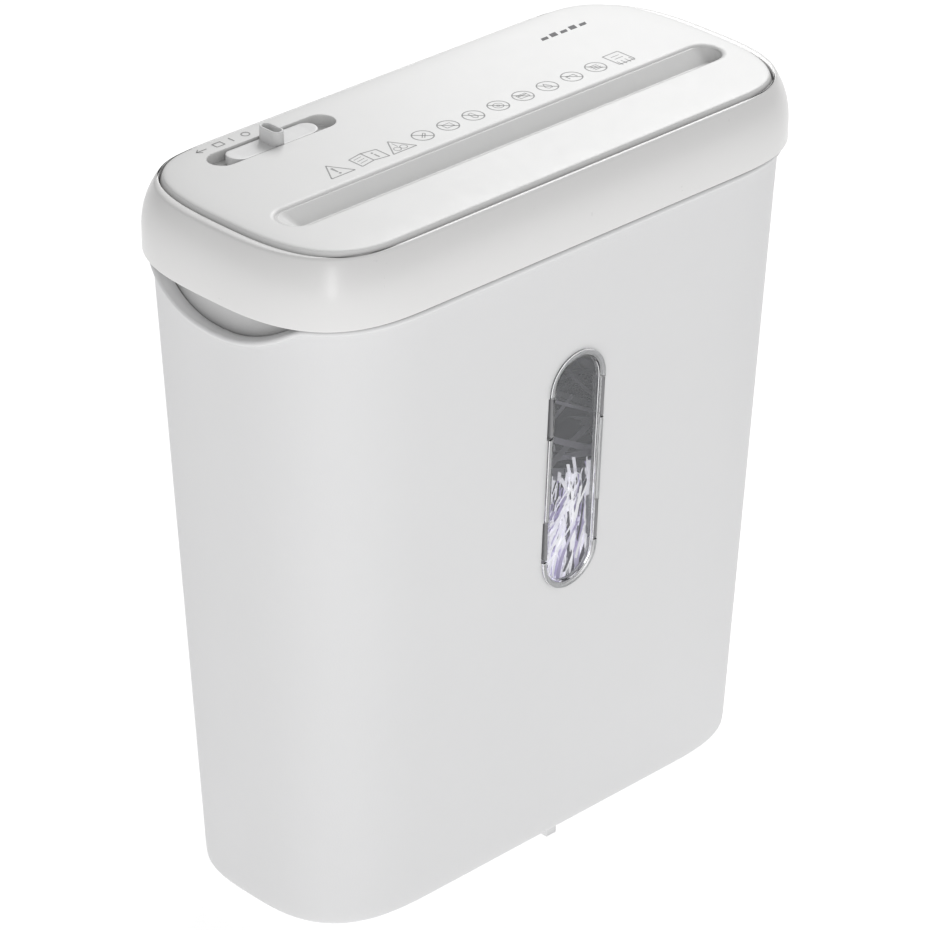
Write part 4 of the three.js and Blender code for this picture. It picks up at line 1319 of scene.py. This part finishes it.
@dataclass
class CuttingRollers:
    """The two rollers whose hooked discs pass between each other."""

    finishes: Finishes
    z: float = 270.0
    left: float = -105.0
    right: float = 117.0
    discs: int = 18
    width: float = 5.6
    disc: float = 12.5
    core: float = 7.5
    journal: float = 4.0
    chamfer: float = 0.25
    tooth: float = 1.6
    stagger: float = 0.36
    shaft_right: float = 120.6
    steps: int = 48

    def ring(self, x: float, y: float, radius: float, hook: float = 0.0, phase: float = 0.0) -> Ring:
        """A ring about a roller's axis.

        Args:
            x: Its place along the axis.
            y: The axis's place.
            radius: Its radius.
            hook: How far it falls back behind each of its three teeth.
            phase: The angle of the first tooth.

        Returns:
            The ring.
        """
        ring = []
        for i in range(self.steps):
            angle = 2 * math.pi * i / self.steps
            share = ((angle - phase) * 3 / (2 * math.pi)) % 1.0
            r = radius - hook * (1 - share) ** 3
            ring.append((x, y + r * math.cos(angle), self.z + r * math.sin(angle)))
        return ring

    def build_one(self, name: str, y: float, row: int, shaft_left: float, body: str, node: str) -> None:
        """Models one roller.

        Args:
            name: The piece's name.
            y: The place of its axis.
            row: 0, or 1 for the roller whose discs pass between the other's.
            shaft_left: Where its shaft ends on the left.
            body: The body it moves with.
            node: The CAD node it stands for.
        """
        rings = [self.ring(shaft_left, y, self.journal - 0.4), self.ring(shaft_left + 0.4, y, self.journal)]
        rings += [self.ring(self.left, y, self.journal), self.ring(self.left, y, self.core)]
        pitch = (self.right - self.left) / self.discs
        disc, edge, width = self.disc, self.chamfer, self.width
        faces = ((0.0, disc - edge), (edge, disc), (width - edge, disc), (width, disc - edge))
        for i in range(self.discs):
            x = self.left + i * pitch + row * pitch / 2 + (pitch / 2 - width) / 2
            phase = (-1) ** row * i * self.stagger
            rings.append(self.ring(x, y, self.core))
            for offset, radius in faces:
                rings.append(self.ring(x + offset, y, radius, self.tooth, phase))
            rings.append(self.ring(x + width, y, self.core))
        end = self.shaft_right
        rings += [self.ring(self.right, y, self.core), self.ring(self.right, y, self.journal)]
        rings += [self.ring(end - 0.4, y, self.journal), self.ring(end, y, self.journal - 0.4)]
        dress(closed_through(name, rings), self.finishes.steel, body, (node,))

    def build(self) -> None:
        """Builds both rollers."""
        self.build_one("rear_cutting_roller", -3.4, 0, -121.3, "rear_cutter", "rear_roller")
        self.build_one("front_cutting_roller", -25.0, 1, -112.9, "front_cutter", "front_roller")


# ------------------------------------------------------------------------------ printed marks


class Glyph(Enum):
    """What a struck-through circle holds."""

    CLIP = 1
    BOARD = 2
    RIBBON = 3
    DISC = 4
    CARD = 5
    DROP = 6
    STAPLE = 7
    SHEETS = 8


GLYPH_LINES: dict[Glyph, tuple[Pairs, bool, float]] = {
    Glyph.CLIP: ([(-1.6, -1.4), (1.4, 1.6), (2.0, 0.8), (-0.8, -2.0)], False, 0.35),
    Glyph.BOARD: ([(-2.0, -1.6), (2.0, -1.6), (2.0, 1.6), (-2.0, 1.6)], True, 0.35),
    Glyph.RIBBON: ([(-0.7, 2.4), (0.7, 2.4), (1.2, -1.4), (0.0, -2.6), (-1.2, -1.4)], True, 0.35),
    Glyph.CARD: ([(-2.4, -1.5), (2.4, -1.5), (2.4, 1.5), (-2.4, 1.5)], True, 0.35),
    Glyph.DROP: ([(0.0, 2.6), (1.5, -0.4), (0.9, -1.9), (-0.9, -1.9), (-1.5, -0.4)], True, 0.35),
    Glyph.STAPLE: ([(-2.0, -1.2), (-2.0, 1.2), (2.0, 1.2), (2.0, -1.2)], False, 0.45),
}


@dataclass
class PanelPrint:
    """The thin printed signs on the panel, all of them plain generic shapes."""

    finishes: Finishes
    z: float = 309.03
    line: float = 0.55
    shift_x: float = -2.2
    shift_y: float = -2.6
    glyph_x: float = -22.2
    glyph_y: float = 5.3
    glyph_pitch: float = 13.48
    emblem_x: float = 75.0
    emblem_y: float = 38.2
    emblem_pitch: float = 5.4
    pieces: list = field(default_factory=list)

    def placed(self, points: Pairs) -> Ring:
        """The points on the panel."""
        return [(x + self.shift_x, y + self.shift_y, self.z) for x, y in points]

    def band(self, outer: Pairs, inner: Pairs) -> None:
        """A closed line between two outlines."""
        model = RingModel("mark", self.placed(outer))
        model.draw(self.placed(inner))
        self.pieces.append(model.open())

    def patch(self, points: Pairs) -> None:
        """A filled outline."""
        model = RingModel("mark", self.placed(points))
        bpy.ops.mesh.select_all(action="SELECT")
        bpy.ops.mesh.edge_face_add()
        self.pieces.append(model.open())

    def circle(
        self, x: float, y: float, radius: float, width: float | None = None, steps: int = 32
    ) -> None:
        """A circle's line.

        Args:
            x: Its middle.
            y: Its middle's other coordinate.
            radius: The radius to the middle of the line.
            width: The line's width, where it isn't the usual one.
            steps: How many sides it has.
        """
        half = (width or self.line) / 2
        outer, inner = circle_points(radius + half, steps), circle_points(radius - half, steps)
        self.band([(x + u, y + v) for u, v in outer], [(x + u, y + v) for u, v in inner])

    def dot(self, x: float, y: float, radius: float) -> None:
        """A filled circle."""
        self.patch([(x + u, y + v) for u, v in circle_points(radius, 16)])

    def stroke(self, x0: float, y0: float, x1: float, y1: float, width: float | None = None) -> None:
        """A straight line.

        Args:
            x0: Its start.
            y0: Its start's other coordinate.
            x1: Its end.
            y1: Its end's other coordinate.
            width: Its width, where it isn't the usual one.
        """
        half = (width or self.line) / 2
        length = math.hypot(x1 - x0, y1 - y0)
        ux, uy = (x1 - x0) / length * half, (y1 - y0) / length * half
        self.patch([(x0 + uy, y0 - ux), (x1 + uy, y1 - ux), (x1 - uy, y1 + ux), (x0 - uy, y0 + ux)])

    def path(self, points: Pairs, closed: bool = False, width: float | None = None) -> None:
        """Straight lines through points.

        Args:
            points: The points, in order.
            closed: Whether a line joins the last to the first.
            width: The lines' width, where it isn't the usual one.
        """
        pairs = list(zip(points, points[1:]))
        if closed:
            pairs.append((points[-1], points[0]))
        for (x0, y0), (x1, y1) in pairs:
            self.stroke(x0, y0, x1, y1, width)

    def triangle(self, x: float) -> None:
        """A three-cornered sign."""
        self.path([(x - 6.0, 0.4), (x + 6.0, 0.4), (x, 10.4)], True)

    def book(self, x: float) -> None:
        """An open book."""
        left, right = x - 7.0, x + 7.0
        self.path([(x, 1.8), (left, 0.6), (left, 8.4), (x, 9.6), (right, 8.4), (right, 0.6), (x, 1.8)])
        self.stroke(x, 1.8, x, 9.6)
        for i in range(3):
            self.stroke(x - 5.8, 3.0 + 1.9 * i, x - 1.5, 3.7 + 1.9 * i, 0.3)
        self.dot(x + 3.6, 6.9, 0.55)
        self.stroke(x + 3.6, 2.6, x + 3.6, 5.6, 0.7)

    def glyph(self, kind: Glyph, x: float, y: float) -> None:
        """The small shape in a struck-through circle.

        Args:
            kind: What it shows.
            x: The circle's middle.
            y: The middle's other coordinate.
        """
        if kind in GLYPH_LINES:
            points, closed, width = GLYPH_LINES[kind]
            self.path([(x + u, y + v) for u, v in points], closed, width)
        if kind is Glyph.DISC:
            self.circle(x, y, 2.2, 0.35, 20)
            self.circle(x, y, 0.7, 0.3, 12)
        elif kind is Glyph.CARD:
            self.stroke(x - 2.4, y + 0.6, x + 2.4, y + 0.6, 0.6)
        elif kind is Glyph.SHEETS:
            for i in range(4):
                height = y - 1.8 + 1.2 * i
                self.stroke(x - 2.3, height, x + 2.3, height, 0.4)

    def build_row(self) -> None:
        """Draws the row of signs behind the slot."""
        self.triangle(-67.9)
        self.patch([(-68.5, 7.4), (-67.3, 7.4), (-67.6, 3.4), (-68.2, 3.4)])
        self.dot(-67.9, 2.2, 0.6)
        self.book(-50.9)
        self.triangle(-36.0)
        self.circle(-37.6, 3.0, 1.5, 0.35, 20)
        self.circle(-34.4, 3.0, 1.5, 0.35, 20)
        self.stroke(-36.0, 4.6, -36.0, 8.0, 0.35)
        for i, kind in enumerate(Glyph):
            x, y = self.glyph_x + self.glyph_pitch * i, self.glyph_y
            self.circle(x, y, 4.4)
            self.glyph(kind, x, y)
            self.stroke(x - 3.1, y + 3.1, x + 3.1, y - 3.1)
        self.path([(81.0, 0.6), (89.6, 0.6), (89.6, 10.4), (81.0, 10.4)], True)
        for i in range(4):
            self.stroke(82.0 + 2.2 * i, -0.4, 82.0 + 2.2 * i, 3.2, 0.4)
        self.stroke(83.0, 5.4, 87.6, 5.4, 0.4)
        self.stroke(83.0, 7.6, 87.6, 7.6, 0.4)

    def build_switch_signs(self) -> None:
        """Draws the switch's three signs: run, off and reverse."""
        self.stroke(-78.0, 51.4, -78.0, 55.0, 0.5)
        self.circle(-70.8, 53.2, 1.7, 0.45, 20)
        self.path([(-95.5, 53.2), (-90.5, 53.2)], False, 0.45)
        self.path([(-93.6, 54.8), (-95.6, 53.2), (-93.6, 51.6)], False, 0.45)
        self.path([(-86.5, 51.6), (-82.5, 51.6), (-82.5, 54.8), (-86.5, 54.8)], True, 0.4)

    def finished(self, name: str, material: bpy.types.Material) -> None:
        """Joins what has been drawn into one piece and dresses it.

        Args:
            name: The piece's name.
            material: Its ink.
        """
        piece = joined(name, self.pieces)
        self.pieces = []
        deselect()
        bpy.context.view_layer.objects.active = piece
        piece.select_set(True)
        bpy.ops.object.mode_set(mode="EDIT")
        bpy.ops.mesh.select_all(action="SELECT")
        bpy.ops.mesh.normals_make_consistent(inside=False)
        bpy.ops.object.mode_set(mode="OBJECT")
        upward = [face.normal.z for face in piece.data.polygons]
        if sum(upward) < 0:
            piece.data.flip_normals()
        dress(piece, material, "head")

    def build_emblem(self) -> None:
        """Draws five slanted bars, short and tall by turns."""
        low, width, slant = self.emblem_y, 3.6, 1.0
        for i in range(5):
            left = self.emblem_x + self.emblem_pitch * i
            high = low + 2.2 + 0.9 * (i % 2)
            self.patch([(left, low), (left + width, low), (left + width + slant, high), (left + slant, high)])

    def build(self) -> None:
        """Draws every sign."""
        self.build_row()
        self.build_switch_signs()
        self.finished("panel_signs", self.finishes.grey_ink)
        self.build_emblem()
        self.finished("panel_emblem", self.finishes.dark_ink)


# ------------------------------------------------------------------------------ carried-over nodes


def dress_nodes(nodes: dict, finishes: Finishes) -> None:
    """Gives each CAD node that stays its finish, by its slot's name.

    Args:
        nodes: The CAD nodes by name.
        finishes: The finishes.
    """
    by_slot = {
        "bin_plastic": finishes.bin,
        "lens_plastic": finishes.lens,
        "foot_rubber": finishes.rubber,
        "band_plastic": finishes.band,
        "panel_plastic": finishes.panel,
        "slider_plastic": finishes.slider,
        "housing_plastic": finishes.housing,
        "black_plastic": finishes.black,
        "nylon": finishes.nylon,
        "steel": finishes.steel,
        "bronze": finishes.bronze,
        "magnet": finishes.ferrite,
        "circuit_laminate": finishes.board,
    }
    for part in FRAME["record"]["subparts"]:
        node = nodes[part["node"]]
        node.data.materials.clear()
        node.data.materials.append(by_slot[part["material_slot"]])


# ------------------------------------------------------------------------------ the studio


@dataclass
class Studio:
    """A pale floor, soft light and the camera."""

    camera_place: Point = (-1.08259, -1.12410, 1.02021)
    camera_turn: Point = (1.06526, -0.0023, -0.7629)
    lens: float = 170.87
    sensor: float = 36.0
    shift: tuple[float, float] = (0.0024, -0.0009)
    floor_size: float = 12.0
    floor_glow: float = 0.82
    world_strength: float = 0.36

    def build_floor(self) -> None:
        """Lays a white floor that glows a little, as a light table does."""
        deselect()
        bpy.ops.mesh.primitive_plane_add(size=self.floor_size, location=(0.0, 0.0, 0.0))
        floor = bpy.context.object
        floor.name = "studio_floor"
        recipe = Recipe("floor paper")
        grain = recipe.noise(3.0)
        values = {
            "Base Color": recipe.mix(grain, rgba(0.34, 0.34, 0.34), rgba(0.36, 0.36, 0.36)),
            "Roughness": 0.9,
            "Specular IOR Level": 0.0,
            "Emission Color": rgba(1.0, 1.0, 1.0),
            "Emission Strength": self.floor_glow,
        }
        floor.data.materials.append(recipe.surface(values))

    def area(self, name: str, place: Point, aim: Point, size: tuple[float, float], power: float) -> None:
        """Hangs a soft box.

        Args:
            name: Its name.
            place: Where it hangs.
            aim: What it points at.
            size: Its width and height.
            power: Its power in watts.
        """
        light = bpy.data.lights.new(name, "AREA")
        light.shape = "RECTANGLE"
        light.size, light.size_y = size
        light.energy = power
        lamp = bpy.data.objects.new(name, light)
        lamp.location = place
        lamp.rotation_euler = (Vector(aim) - Vector(place)).to_track_quat("-Z", "Y").to_euler()
        bpy.context.scene.collection.objects.link(lamp)

    def build_world(self) -> None:
        """Surrounds the set with even white light."""
        world = bpy.data.worlds.new("studio")
        world.use_nodes = True
        background = world.node_tree.nodes["Background"]
        background.inputs["Color"].default_value = rgba(1.0, 1.0, 1.0)
        background.inputs["Strength"].default_value = self.world_strength
        bpy.context.scene.world = world

    def build_camera(self) -> None:
        """Sets up the camera."""
        data = bpy.data.cameras.new("camera")
        data.sensor_width = self.sensor
        data.lens = self.lens
        data.shift_x, data.shift_y = self.shift
        data.clip_start, data.clip_end = 0.05, 50.0
        camera = bpy.data.objects.new("camera", data)
        camera.location = self.camera_place
        camera.rotation_euler = self.camera_turn
        bpy.context.scene.collection.objects.link(camera)
        bpy.context.scene.camera = camera

    def build(self) -> None:
        """Builds the studio."""
        bpy.context.scene.view_settings.view_transform = "Standard"
        self.build_floor()
        self.build_world()
        self.area("key", (-1.1, -1.3, 0.6), (0.0, 0.0, 0.15), (0.3, 1.2), 6.6)
        self.area("rear", (0.85, 0.5, 1.1), (0.0, 0.0, 0.3), (0.8, 0.8), 10.6)
        self.build_camera()


# ------------------------------------------------------------------------------ the whole


def main() -> None:
    """Builds the shredder and its studio."""
    logging.basicConfig(level=logging.INFO, format="%(message)s")
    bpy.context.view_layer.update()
    finishes = Finishes()
    dress_nodes(FRAME["nodes"], finishes)
    waste_bin = WasteBin(finishes)
    waste_bin.build()
    PaperHeap(finishes, waste_bin).build()
    HeadCasing(finishes).build()
    ModeSwitch(finishes).build()
    CuttingRollers(finishes).build()
    PanelPrint(finishes).build()
    Studio().build()
    deselect()


with open("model.json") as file:
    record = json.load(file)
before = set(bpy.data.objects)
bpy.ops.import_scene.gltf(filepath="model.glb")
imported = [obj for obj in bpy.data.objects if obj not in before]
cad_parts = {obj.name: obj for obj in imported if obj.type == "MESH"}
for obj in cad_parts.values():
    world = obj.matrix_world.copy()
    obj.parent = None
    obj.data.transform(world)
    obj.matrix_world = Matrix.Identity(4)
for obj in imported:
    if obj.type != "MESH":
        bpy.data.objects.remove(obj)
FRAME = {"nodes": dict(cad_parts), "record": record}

if __name__ == "__main__":
    main()
